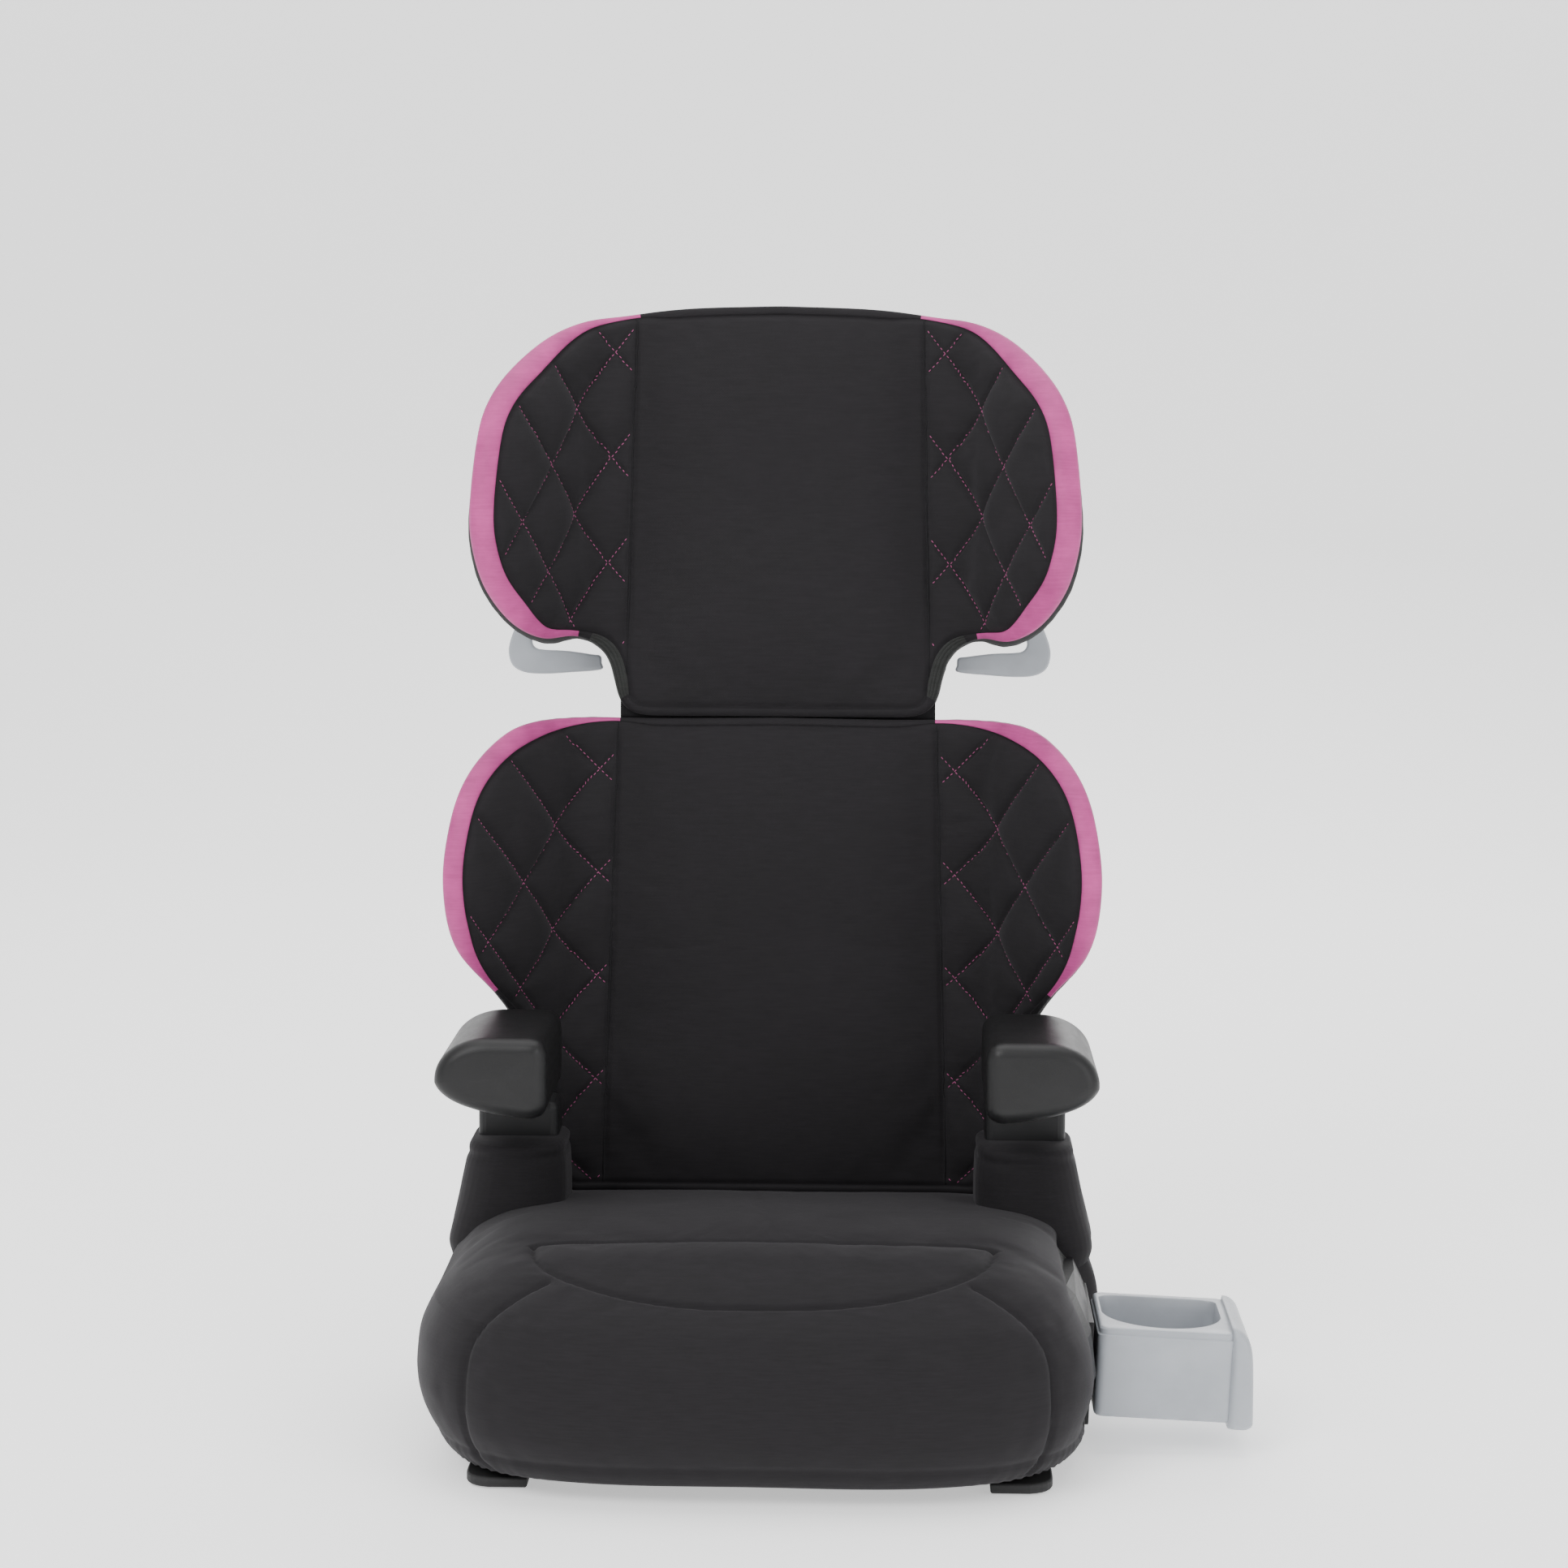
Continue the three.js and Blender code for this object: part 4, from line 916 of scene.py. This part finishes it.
def seat_rings(inset_by=0.0):
    """Rings of the cushion's outer form from the middle of its top down to the hem."""
    angle, around = even_angles(SEAT_POINTS)
    rings, cloth = [], []
    half, front = BASE_LEVELS[-1, 1], BASE_LEVELS[-1, 2]
    for i in range(TOP_RINGS + 1):
        share = math.sin(0.5 * math.pi * i / TOP_RINGS)
        x, y = seat_section(share, half - inset_by, front + inset_by, BASE_REAR - inset_by, angle)
        dome = np.interp(share, DOME[:, 0], DOME[:, 1])
        profile = np.interp(y, PROFILE[:, 0], PROFILE[:, 1])
        z = soft_min(np.full_like(x, dome), profile, 7.0) - inset_by
        rings.append(np.stack([x, y, z], axis=1))
        cloth.append(np.stack([x, y, 0 * x], axis=1))
    top = rings[-1][:, 2]
    for i in range(1, SIDE_RINGS + 1):
        t = i / SIDE_RINGS
        level = SHOULDER_Z + (BASE_HEM - SHOULDER_Z) * t
        half = np.interp(level, BASE_LEVELS[:, 0], BASE_LEVELS[:, 1])
        front = np.interp(level, BASE_LEVELS[:, 0], BASE_LEVELS[:, 2])
        x, y = seat_section(1.0, half - inset_by, front + inset_by, BASE_REAR - inset_by, angle)
        z = top + (BASE_HEM - top) * t
        rings.append(np.stack([x, y, z], axis=1))
        cloth.append(np.stack([np.linspace(0, around, SEAT_POINTS), 300 - z, 0 * x], axis=1))
    return smoothed(rings, LEVEL_ROUNDING), np.array(cloth)


LENS = {"half": 137.0, "rear": -97.0, "front": -178.0, "power": 2.5}


def lens_seams():
    """Plan of the lens-shaped panel on the seat's front edge: its front arc and its rear ridge."""
    t = np.linspace(0, math.pi, 90)
    bulge = 2 / LENS["power"]
    x = LENS["half"] * np.sign(np.cos(t)) * np.abs(np.cos(t)) ** bulge
    y = LENS["rear"] - (LENS["rear"] - LENS["front"]) * np.sin(t) ** bulge
    front = np.stack([x, y], axis=1)
    u = np.linspace(-1, 1, 60)
    ridge = np.stack([u * LENS["half"], LENS["rear"] + 7 * (1 - u ** 2)], axis=1)
    return front, ridge


# front view of the seam between the front panel and each side panel: (x, height)
CORNER_SEAM = [
    (124, 119), (136, 114.5), (148, 108), (160, 98), (168, 84), (171, 62), (170, 40), (165, 24), (156, 14)]
SEAM_DEPTH, SEAM_HALF = 2.2, 1.7
FULLNESS, SIDE_TUCK = 3.4, 1.6
CUSHION_RISE = {"pressure": 5.0, "cap": 5.0}


def dropped(tree, plan):
    """A plan curve laid on the cushion from above."""
    hits = [tree.ray_cast(Vector((x, y, 400)), Vector((0, 0, -1)))[0] for x, y in plan]
    return np.array([hit for hit in hits if hit is not None])


def pressed(tree, view):
    """A front-view curve laid on the cushion's front."""
    hits = [tree.ray_cast(Vector((x, -600, z)), Vector((0, 1, 0)))[0] for x, z in view]
    return np.array([hit for hit in hits if hit is not None])


TUNNEL = {"front": -93.0, "rear": 13.0, "high": 97.0}
MOUTH_PULL = 15.0
MOUTH_REACH = {"front": 85.0, "rear": 24.0, "top": 22.0}
LINING = 4.0


def drawn_in(points):
    """The elastic around the drawer's opening draws the cover inwards there."""
    x, y, z = points.T
    ahead = np.clip((TUNNEL["front"] - y) / MOUTH_REACH["front"], 0, 1)
    behind = np.clip((y - TUNNEL["rear"]) / MOUTH_REACH["rear"], 0, 1)
    above = np.clip((z - TUNNEL["high"]) / MOUTH_REACH["top"], 0, 1)
    share = (1 - ahead) ** 1.3 * (1 - smooth_step(behind)) * (1 - smooth_step(above))
    share = share * smooth_step(x, 140, 190) * smooth_step(z, BASE_HEM + 3, 40)
    return np.stack([x - MOUTH_PULL * share, y, z], axis=1)


def seat_cushion():
    rings, cloth = seat_rings()
    count = SEAT_POINTS
    points, faces = pole_points(rings), pole_faces(len(rings) - 1, count)
    tree = BVHTree.FromPolygons(points.tolist(), faces)
    front, ridge = lens_seams()
    seams = [dropped(tree, front), dropped(tree, ridge)]
    corner = catmull(CORNER_SEAM, 10)
    seams += [pressed(tree, corner * (sign, 1)) for _, sign in SIDES]

    # swelling between the seams, at a coarser spacing
    coarse = rings[::COARSEN, ::COARSEN]
    few, each = coarse.shape[:2]
    rough, rough_faces = pole_points(coarse), pole_faces(few - 1, each)
    held = np.zeros(len(rough))
    for seam in seams:
        held = np.maximum(held, np.exp(-distance_to(rough, seam[::3]) / 6.0))
    held = np.maximum(held, np.exp(-(rough[:, 2] - BASE_HEM) / 10.0))
    held = np.maximum(held, smooth_step(rough[:, 1], BASE_REAR - 12, BASE_REAR - 4))
    facing = 1 if vertex_normals(rough, rough_faces)[0, 2] > 0 else -1
    shift = swell(rough, rough_faces, np.clip(held, 0, 1), facing * CUSHION_RISE["pressure"],
                  CUSHION_RISE["cap"], facing)
    shift = shift * (1 - smooth_step(rough[:, 1], 90, 130))[:, None]
    points = points + pole_points(refine(pole_grid(shift, few, each), COARSEN))

    # padded relief and sewn seams along the normals
    normals = vertex_normals(points, faces)
    if normals[0, 2] < 0:
        normals = -normals
    lift = np.zeros(len(points))
    nearest = np.full(len(points), 1e9)
    for seam in seams:
        away = distance_to(points, seam)
        nearest = np.minimum(nearest, away)
        lift -= SEAM_DEPTH * np.exp(-(away / SEAM_HALF) ** 2)
    on_side = smooth_step(np.abs(points[:, 0]), 130, 205)
    fullness = FULLNESS * (1 - np.exp(-nearest / 14.0)) * smooth_step(points[:, 2], BASE_HEM, 40)
    lift += fullness * (1 - on_side) - SIDE_TUCK * on_side
    hem = points[:, 2] - BASE_HEM
    lift += 0.9 * np.exp(-((hem - 6) / 4.5) ** 2) - 0.9 * np.exp(-((hem - 13) / 1.8) ** 2)
    gather = np.sin(np.arctan2(points[:, 1], points[:, 0]) * 190) * np.exp(-hem / 7.0)
    corner_share = smooth_step(np.abs(points[:, 0]), 110, 170)
    lift += 0.55 * gather * corner_share
    lift += 0.5 * wander(points[:, 0] / 52, points[:, 1] / 47 + points[:, 2] / 33, 1.0)
    lift *= 1 - smooth_step(points[:, 1], BASE_REAR - 30, BASE_REAR - 8)
    points = drawn_in(points + normals * lift[:, None])

    # inner layer, so that the cover is a closed body of cloth and padding
    inner, _ = seat_rings(LINING)
    hem_ring = inner[-1] + (0, 0, 0.2)
    inner = inner[::-4]
    first = len(points)
    layers = [hem_ring, *inner[1:-1]]
    under = drawn_in(np.vstack([np.vstack(layers), inner[-1, :1]]))
    last_ring = first - count + np.arange(count)
    index = np.vstack([last_ring, first + np.arange(len(layers) * count).reshape(-1, count)])
    turned = np.roll(index, -1, axis=1)
    more = np.stack([index[:-1], index[1:], turned[1:], turned[:-1]], axis=-1).reshape(-1, 4)
    pole = first + len(under) - 1
    faces = faces + [tuple(q) for q in more.tolist()]
    faces += [(pole, b, a) for a, b in zip(index[-1].tolist(), turned[-1].tolist())]
    cloth = np.vstack([pole_points(cloth), under])
    cover = piece("seat_cushion", np.vstack([points, under]), faces, [JERSEY], "base", cloth=cloth)
    cut_tunnel(cover)
    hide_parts("seat_cover", "seat_foam")
    return cover


REAR_ROOM = {"half": 104.0, "high": 82.0}


def cutter(name, points, faces):
    """A helper object that is cut out of another one."""
    scaled = np.asarray(points) * MM
    mesh = new_mesh(name, scaled, faces)
    if signed_volume(scaled, mesh) < 0:
        mesh.flip_normals()
    return linked(name, mesh)


def cut_tunnel(cover):
    """Opens the cover for the drawer on its side and for the hinge behind."""
    middle = (TUNNEL["front"] + TUNNEL["rear"]) / 2
    half = (TUNNEL["rear"] - TUNNEL["front"]) / 2
    outline = rounded_rectangle(half, 60.0, 16.0, 96) + (middle, TUNNEL["high"] - 60.0)
    side = [at_side(outline, x) for x in (120.0, 260.0)]
    outline = rounded_rectangle(REAR_ROOM["half"], 50.0, 14.0, 96) + (0, REAR_ROOM["high"] - 50.0)
    rear = [at_depth(outline, y) for y in (126.0, 200.0)]
    for name, rings in (("side", side), ("rear", rear)):
        tool = cutter("cutter_" + name, *closed_rings(rings))
        modifier = cover.modifiers.new(name, "BOOLEAN")
        modifier.operation = "DIFFERENCE"
        modifier.solver = "EXACT"
        modifier.object = tool
        bpy.context.view_layer.objects.active = cover
        bpy.ops.object.modifier_apply(modifier=modifier.name)
        bpy.data.objects.remove(tool)


CUSHION = seat_cushion()


def surface_tree(obj):
    corners = [v.co / MM for v in obj.data.vertices]
    return BVHTree.FromPolygons(corners, [tuple(p.vertices) for p in obj.data.polygons])


def tunnel_binding():
    """Ribbed elastic around the drawer's opening in the cover."""
    tree = surface_tree(CUSHION)
    margin = 4.6
    low, high = BASE_HEM + 1, TUNNEL["high"] + margin
    front, rear = TUNNEL["front"] - margin, TUNNEL["rear"] + margin
    corner = 19.0
    path = [(front, low), (front, 40), (front, high - corner)]
    path += [(front + corner * (1 - math.cos(a)), high - corner * (1 - math.sin(a)))
             for a in np.linspace(0.25, math.pi / 2, 5)]
    path += [(rear - corner * (1 - math.sin(a)), high - corner * (1 - math.cos(a)))
             for a in np.linspace(0, math.pi / 2 - 0.25, 5)]
    path += [(rear, high - corner), (rear, 40), (rear, low)]
    path = even(catmull(path, 8), 150)
    line, normals = [], []
    for y, z in path:
        hit, normal, _, _ = tree.ray_cast(Vector((300, y, z)), Vector((-1, 0, 0)))
        if hit is not None:
            line.append(np.array(hit))
            normals.append(np.array(normal))
    swept_band("drawer_opening_binding", smoothed(line, 12), smoothed(normals, 12),
               ribbed_profile(11.0, 1.6, 4), ELASTIC, "base")


tunnel_binding()


# ---- hip sleeves ----

SLEEVE_LEVELS = [
    # height, centre x, centre y, half-width, half-depth
    (80, 165.5, 57.0, 34.0, 39.0),
    (90, 166.5, 57.0, 36.0, 40.0),
    (99, 167.5, 57.0, 37.0, 40.5),
    (112, 166.0, 57.0, 36.0, 39.5),
    (126, 164.0, 57.0, 34.5, 38.5),
    (140, 162.5, 57.0, 33.0, 37.5),
    (152, 161.5, 57.0, 31.5, 37.0),
    (159, 161.0, 57.0, 30.5, 36.5),
    (162, 161.0, 57.0, 28.5, 35.0),
]


SLEEVE_RADII = (12.0, 12.0, 26.0, 26.0)      # tight rear corners, wide front ones


def hip_sleeve(side, sign):
    """The padded sleeve of the cover that rises around an arm post."""
    count = 192
    levels = even(catmull(SLEEVE_LEVELS, 8), 64)
    rings = []
    for z, cx, cy, hx, hy in levels:
        radii = np.minimum(SLEEVE_RADII, hx * 0.95)
        rings.append(at_height(rounded_rectangle(hx, hy, radii, count) + (cx, cy), z))
    rings = np.array(rings)
    share = (rings[:, :, 2] - 84) / 78
    along = rings[:, :, 1]
    fold_lines = np.sin(along / 11 + 3 * share) * 0.7 + np.sin(along / 5.3 + 9 * share) * 0.25
    centre = rings.mean(axis=1, keepdims=True)
    out = rings - centre
    out[:, :, 2] = 0
    out /= np.maximum(np.linalg.norm(out, axis=2, keepdims=True), 1e-6)
    hem = np.exp(-((share - 0.9) / 0.035) ** 2)
    rings = rings + out * (fold_lines * (1 - share) - 1.1 * hem)[..., None]
    points, faces = closed_rings(list(rings))
    points = points * (sign, 1, 1)
    cloth = np.stack([points[:, 1], points[:, 2], points[:, 0] * 0], axis=1)
    pad = piece("hip_sleeve_" + side, points, faces, [JERSEY], "base", cloth=cloth)
    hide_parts("hip_pad_" + side)


for side, sign in SIDES:
    hip_sleeve(side, sign)


# ---- arm caps ----

ARM = {"inner": 133.0, "outer": 202.0, "low": 195.0, "high": 245.0, "corner": 12.0}
ARM_FRONT, ARM_REAR = -60.0, 52.0


def loop_curve(points, count):
    """Smooth closed curve through the points, evenly resampled."""
    p = np.asarray(points, float)
    padded = np.vstack([p[-3:], p, p[:4]])
    curve = catmull(padded, 20)[3 * 20:-3 * 20]
    return even(curve, count + 1)[:-1]


def bezier(*controls, count=24):
    """Points along a Bezier curve, without its last one."""
    t = np.linspace(0, 1, count, endpoint=False)[:, None]
    layer = [np.asarray(point, float)[None] for point in controls]
    while len(layer) > 1:
        layer = [a * (1 - t) + b * t for a, b in zip(layer[:-1], layer[1:])]
    return layer[0]


def arm_outline(count):
    """Section of the right arm: flat top, large outer corner, undercut towards its lower edge."""
    inner, outer, low, high, corner = (ARM[key] for key in ("inner", "outer", "low", "high", "corner"))
    curve = np.vstack([
        bezier((inner + corner, low), (inner + 30, low + 2), (outer - 6, low + 6), (outer, low + 22)),
        bezier((outer, low + 22), (outer + 1, high - 12), (outer - 14, high), (outer - 34, high)),
        bezier((outer - 34, high), (inner + corner, high), count=6),
        bezier((inner + corner, high), (inner, high), (inner, high - corner), count=10),
        bezier((inner, high - corner), (inner, low + corner), count=6),
        bezier((inner, low + corner), (inner, low), (inner + corner, low), count=10),
        [(inner + corner, low)],
    ])
    return even(curve, count + 1)[:-1]


def shrunk(outline, amount):
    """The outline moved inwards by an amount in millimetres."""
    step = loop_direction(outline, 8)
    return outline + amount * np.stack([-step[:, 1], step[:, 0]], axis=1)


ARM_ROUNDING = {"front": 9.0, "rear": 5.0}


def arm_cap(side, sign):
    count = 200
    outline = arm_outline(count)
    front, rear = ARM_ROUNDING["front"], ARM_ROUNDING["rear"]
    layers = []
    edge = shrunk(outline, front)
    centre = edge.mean(0)
    for share in (0.15, 0.4, 0.65, 0.85, 0.95):
        flat = centre + (edge - centre) * share
        layers.append(at_depth(flat, ARM_FRONT - 0.8 * (1 - share)))
    for angle in np.linspace(0, math.pi / 2, 12):
        flat = shrunk(outline, front * (1 - math.sin(angle)))
        layers.append(at_depth(flat, ARM_FRONT + front * (1 - math.cos(angle))))
    for y in np.linspace(ARM_FRONT + front + 3, ARM_REAR - rear - 2, 18):
        layers.append(at_depth(outline, y))
    for angle in np.linspace(0, math.pi / 2, 8):
        flat = shrunk(outline, rear * (1 - math.cos(angle)))
        layers.append(at_depth(flat, ARM_REAR - rear * (1 - math.sin(angle))))
    points, faces = closed_rings(layers)
    cap = piece("arm_cap_cover_" + side, points * (sign, 1, 1), faces, [ARM_PLASTIC], "base")
    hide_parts("arm_cap_" + side)


for side, sign in SIDES:
    arm_cap(side, sign)


# ---- cup holder ----

TRAY = {"start": -2.0, "end": 82.0, "front": -85.0, "rear": 5.0, "low": 23.0, "high": 78.0}
TRAY_CORNER = 5.0
WELL = {"radius": 36.0, "x": 38.5, "floor": 26.5}


def tray_outline(grow, count):
    half_x = (TRAY["end"] - TRAY["start"]) / 2 + grow
    half_y = (TRAY["rear"] - TRAY["front"]) / 2 + grow
    x, y = (TRAY["end"] + TRAY["start"]) / 2, (TRAY["rear"] + TRAY["front"]) / 2
    outline = rounded_rectangle(half_x, half_y, TRAY_CORNER, 720)
    return spoke_points(outline, count, (x - WELL["x"], 0)) + (WELL["x"], y)


def spoke_points(outline, count, shift=(0, 0)):
    """Resamples a star-shaped outline at even angles, so that rings of any shape line up."""
    moved = outline + shift
    angle = np.arctan2(moved[:, 1], moved[:, 0])
    order = np.argsort(angle)
    radius = np.linalg.norm(moved, axis=1)
    wanted = np.linspace(-math.pi, math.pi, count, endpoint=False)
    found = np.interp(wanted, angle[order], radius[order], period=2 * math.pi)
    return np.stack([found * np.cos(wanted), found * np.sin(wanted)], axis=1)


def well_outline(shrink, count):
    """A round well in front that squares off towards the rear."""
    radius = WELL["radius"] - shrink
    angle = np.linspace(-math.pi, math.pi, count, endpoint=False)
    rear_reach = radius + 2.0
    square = np.minimum(radius / np.maximum(np.abs(np.cos(angle)), 1e-6),
                        rear_reach / np.maximum(np.abs(np.sin(angle)), 1e-6))
    corner = (np.abs(np.cos(angle)) ** 8 + np.abs(np.sin(angle)) ** 8) ** (-1 / 8) * radius
    blend = smooth_step(np.sin(angle), -0.22, 0.02)
    reach = radius * (1 - blend) + np.minimum(square, corner * 1.04) * blend
    centre_y = (TRAY["front"] + TRAY["rear"]) / 2
    return np.stack([reach * np.cos(angle) + WELL["x"], reach * np.sin(angle) + centre_y], axis=1)


def cup_holder():
    count = 256
    low, high, floor = TRAY["low"], TRAY["high"], WELL["floor"]
    outside = [(-4.0, low), (-1.2, low + 0.4), (-0.3, low + 1.5), (0.0, low + 3.0)]
    outside += [(0.0, z) for z in np.linspace(low + 8, high - 5.5, 6)]
    outside += [(0.0, high - 4.6), (-1.0, high - 4.0), (-1.1, high - 1.2), (-1.7, high - 0.4), (-2.8, high)]
    well = [(-1.8, high), (-0.5, high - 0.5), (0.0, high - 1.8), (0.3, high - 8), (0.6, high - 16),
            (1.0, high - 26), (1.5, high - 38), (2.2, floor + 4.5), (3.2, floor + 1.6), (5.5, floor),
            (15.0, floor), (28.0, floor)]
    rings = [at_height(tray_outline(grow, count), z) for grow, z in outside]
    rings += [at_height(well_outline(shrink, count), z) for shrink, z in well]
    points, faces = closed_rings(rings)
    tray = piece("cup_holder_tray", points, faces, [GREY_PLASTIC], "drawer", DRAWER_FRAME)
    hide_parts("cup_holder")
    bevel_edges(tray)


END_CAP_INNER, END_CAP_HALF = 78.8, 48.0
# height, outer face, and how much narrower than the widest level
END_CAP_LEVELS = [
    (19.8, 89.0, 3.0), (20.2, 91.6, 1.3), (21.6, 93.4, 0.4), (23.6, 94.0, 0.0), (32, 93.6, 0.0),
    (40, 93.2, 0.0), (50, 92.7, 0.0), (60, 92.0, 0.0), (66, 91.3, 0.1), (70, 90.5, 0.4), (73, 89.5, 0.9),
    (75.5, 88.2, 1.6), (77.6, 86.4, 2.7), (79.2, 84.4, 4.2), (80.3, 82.2, 6.0), (80.9, 80.4, 8.2)]


def cup_holder_end():
    """The drawer's end cap, which flares outwards towards its foot."""
    count = 160
    rings = []
    for z, outer, narrower in END_CAP_LEVELS:
        half_x = (outer - END_CAP_INNER) / 2
        flat = rounded_rectangle(half_x, END_CAP_HALF - narrower, min(4.5, half_x * 0.9), count)
        flat = flat + ((outer + END_CAP_INNER) / 2, (TRAY["front"] + TRAY["rear"]) / 2)
        rings.append(at_height(flat, z))
    points, faces = closed_rings(rings)
    piece("cup_holder_end_cap", points, faces, [GREY_PLASTIC], "drawer", DRAWER_FRAME)


def bevel_edges(obj, width=0.5, angle=32):
    modifier = obj.modifiers.new("bevel", "BEVEL")
    modifier.width = width * MM
    modifier.segments = 2
    modifier.limit_method = "ANGLE"
    modifier.angle_limit = math.radians(angle)
    modifier.harden_normals = True


cup_holder()
cup_holder_end()


# ---- shoulder belt guides ----

GUIDE_Y, GUIDE_THICKNESS, GUIDE_ROUNDING = -23.1, 6.0, 1.7


def guide_outline():
    """Open hook for the shoulder belt, right side: (x, height along the back)."""
    hook = [(118, 392), (117.4, 396.5), (118.2, 401.2), (124, 402.2), (140, 404.3), (155, 405), (160.5, 406),
            (163.2, 409), (163.2, 413), (160.5, 416.2), (155, 417), (140, 417), (124, 417), (116, 415.5),
            (112.5, 411), (111, 403), (110.5, 395.5), (109, 392), (100, 391.5), (82, 396)]
    plate = [(80, 410), (80, 440), (82, 464), (100, 466), (130, 466), (149, 465), (157, 455)]
    outer = [(167, 436), (173, 424), (178, 411), (179, 402), (176, 394), (168, 389.8), (155, 389), (138, 390)]
    return loop_curve(hook + plate + outer, 320)


def belt_guide(side, sign):
    outline = guide_outline() * (sign, 1)
    curve = bpy.data.curves.new("guide_" + side, "CURVE")
    curve.dimensions = "2D"
    curve.fill_mode = "BOTH"
    curve.extrude = GUIDE_THICKNESS / 2 - GUIDE_ROUNDING
    curve.bevel_depth = GUIDE_ROUNDING
    curve.bevel_resolution = 4
    curve.offset = -GUIDE_ROUNDING
    spline = curve.splines.new("POLY")
    spline.points.add(len(outline) - 1)
    for point, (x, z) in zip(spline.points, outline):
        point.co = (x, z, 0, 1)
    spline.use_cyclic_u = True
    holder = linked("guide_curve", curve)
    mesh = bpy.data.meshes.new_from_object(holder.evaluated_get(bpy.context.evaluated_depsgraph_get()))
    bpy.data.objects.remove(holder)
    flat = np.array([tuple(v.co) for v in mesh.vertices])
    faces = [tuple(p.vertices) for p in mesh.polygons]
    points = np.stack([flat[:, 0], GUIDE_Y + GUIDE_THICKNESS / 2 + flat[:, 2], flat[:, 1]], axis=1)
    bpy.data.meshes.remove(mesh)
    guide = piece("belt_guide_hook_" + side, points, faces, [GREY_PLASTIC], "headrest",
                  BACK_FRAME)
    weld = guide.modifiers.new("weld", "WELD")
    weld.merge_threshold = 0.02 * MM
    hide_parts("belt_guide_" + side)


for side, sign in SIDES:
    belt_guide(side, sign)


# ---- CAD nodes that stay ----

def dress(names, material, bevel):
    for name in names:
        node = frame["nodes"][name]
        node.data.materials.clear()
        node.data.materials.append(material)
        weld = node.modifiers.new("weld", "WELD")
        weld.merge_threshold = 0.005 * MM
        if bevel:
            bevel_edges(node, bevel)


names = sorted(frame["nodes"])
screws = [name for name in names if "screw" in name]
dress(screws, STEEL, 0.25)
dress(["hinge_pin_left", "hinge_pin_right"], STEEL, 0.4)
dress(["release_rod", "latch_spring"], STEEL, 0)
dress(["latch_bolt", "release_handle"], GREY_PLASTIC, 0.6)
dress([name for name in names if name.startswith("foot_")], RUBBER, 1.0)
dress(["base_shell", "base_underpan", "drawer_channel", "back_shell", "back_rear_plate", "headrest_shell",
       "headrest_carriage"], BLACK_PLASTIC, 0.6)


# ---- stage, light and camera ----

FLOOR_REACH = 30.0
FLOOR_DROP = 0.0012            # keeps the floor just clear of the feet


def backdrop():
    """Pale floor that curves up into a wall behind the seat."""
    foot, bend = 2.2, 1.8
    profile = [(-FLOOR_REACH, 0.0), (-1.0, 0.0), (1.0, 0.0), (foot, 0.0)]
    profile += [(foot + bend * math.sin(angle), bend - bend * math.cos(angle))
                for angle in np.linspace(0.1, math.pi / 2, 16)]
    profile += [(foot + bend, 4.0), (foot + bend, 7.0)]
    points = [(x, y, z - FLOOR_DROP) for x in (-FLOOR_REACH, FLOOR_REACH) for y, z in profile]
    count = len(profile)
    faces = [(i, i + 1, count + i + 1, count + i) for i in range(count - 1)]
    mesh = new_mesh("backdrop", points, faces)
    mesh.polygons.foreach_set("use_smooth", np.ones(len(faces), bool))
    n = Nodes("pale_floor")
    tone = n.noise(n.add("ShaderNodeTexCoord").outputs["Object"], 3.0, 2.0)
    mesh.materials.append(n.finish(
        Base_Color=n.mix(tone, (0.88, 0.88, 0.88, 1), (0.91, 0.91, 0.91, 1)), Roughness=0.9,
        Emission_Color=(1, 1, 1, 1), Emission_Strength=0.65))
    linked("backdrop", mesh)


def area_light(name, place, target, size, power, colour=(1, 1, 1)):
    data = bpy.data.lights.new(name, "AREA")
    data.shape = "RECTANGLE"
    data.size, data.size_y = size
    data.energy = power
    data.color = colour
    obj = linked(name, data)
    obj.location = place
    obj.rotation_euler = (Vector(target) - Vector(place)).to_track_quat("-Z", "Y").to_euler()


def light_scene():
    world = bpy.data.worlds.new("studio")
    world.use_nodes = True
    background = world.node_tree.nodes["Background"].inputs
    background["Color"].default_value = (1, 1, 1, 1)
    background["Strength"].default_value = 0.75
    bpy.context.scene.world = world
    area_light("key", (-1.3, -2.2, 2.3), (0, 0, 0.35), (1.6, 1.6), 60)
    area_light("fill", (1.9, -2.0, 1.2), (0, 0, 0.35), (1.6, 1.8), 26)
    area_light("top", (0.0, 0.1, 2.6), (0, 0, 0.3), (2.4, 2.0), 42)
    area_light("rear", (0.4, 2.6, 1.8), (0, 0, 0.4), (2.0, 1.6), 30)


CAMERA = {"place": (0.0700, -2.287, 0.656), "pitch": 6.5, "yaw": 1.54, "roll": 0.28, "lens": 86.0}


def add_camera():
    data = bpy.data.cameras.new("camera")
    data.lens = CAMERA["lens"]
    data.sensor_width = 36.0
    camera = linked("camera", data)
    aim = Matrix.Rotation(math.radians(CAMERA["yaw"]), 4, "Z")
    aim = aim @ Matrix.Rotation(math.radians(90 - CAMERA["pitch"]), 4, "X")
    aim = aim @ Matrix.Rotation(math.radians(CAMERA["roll"]), 4, "Z")
    camera.matrix_world = Matrix.Translation(CAMERA["place"]) @ aim
    bpy.context.scene.camera = camera


backdrop()
light_scene()
add_camera()
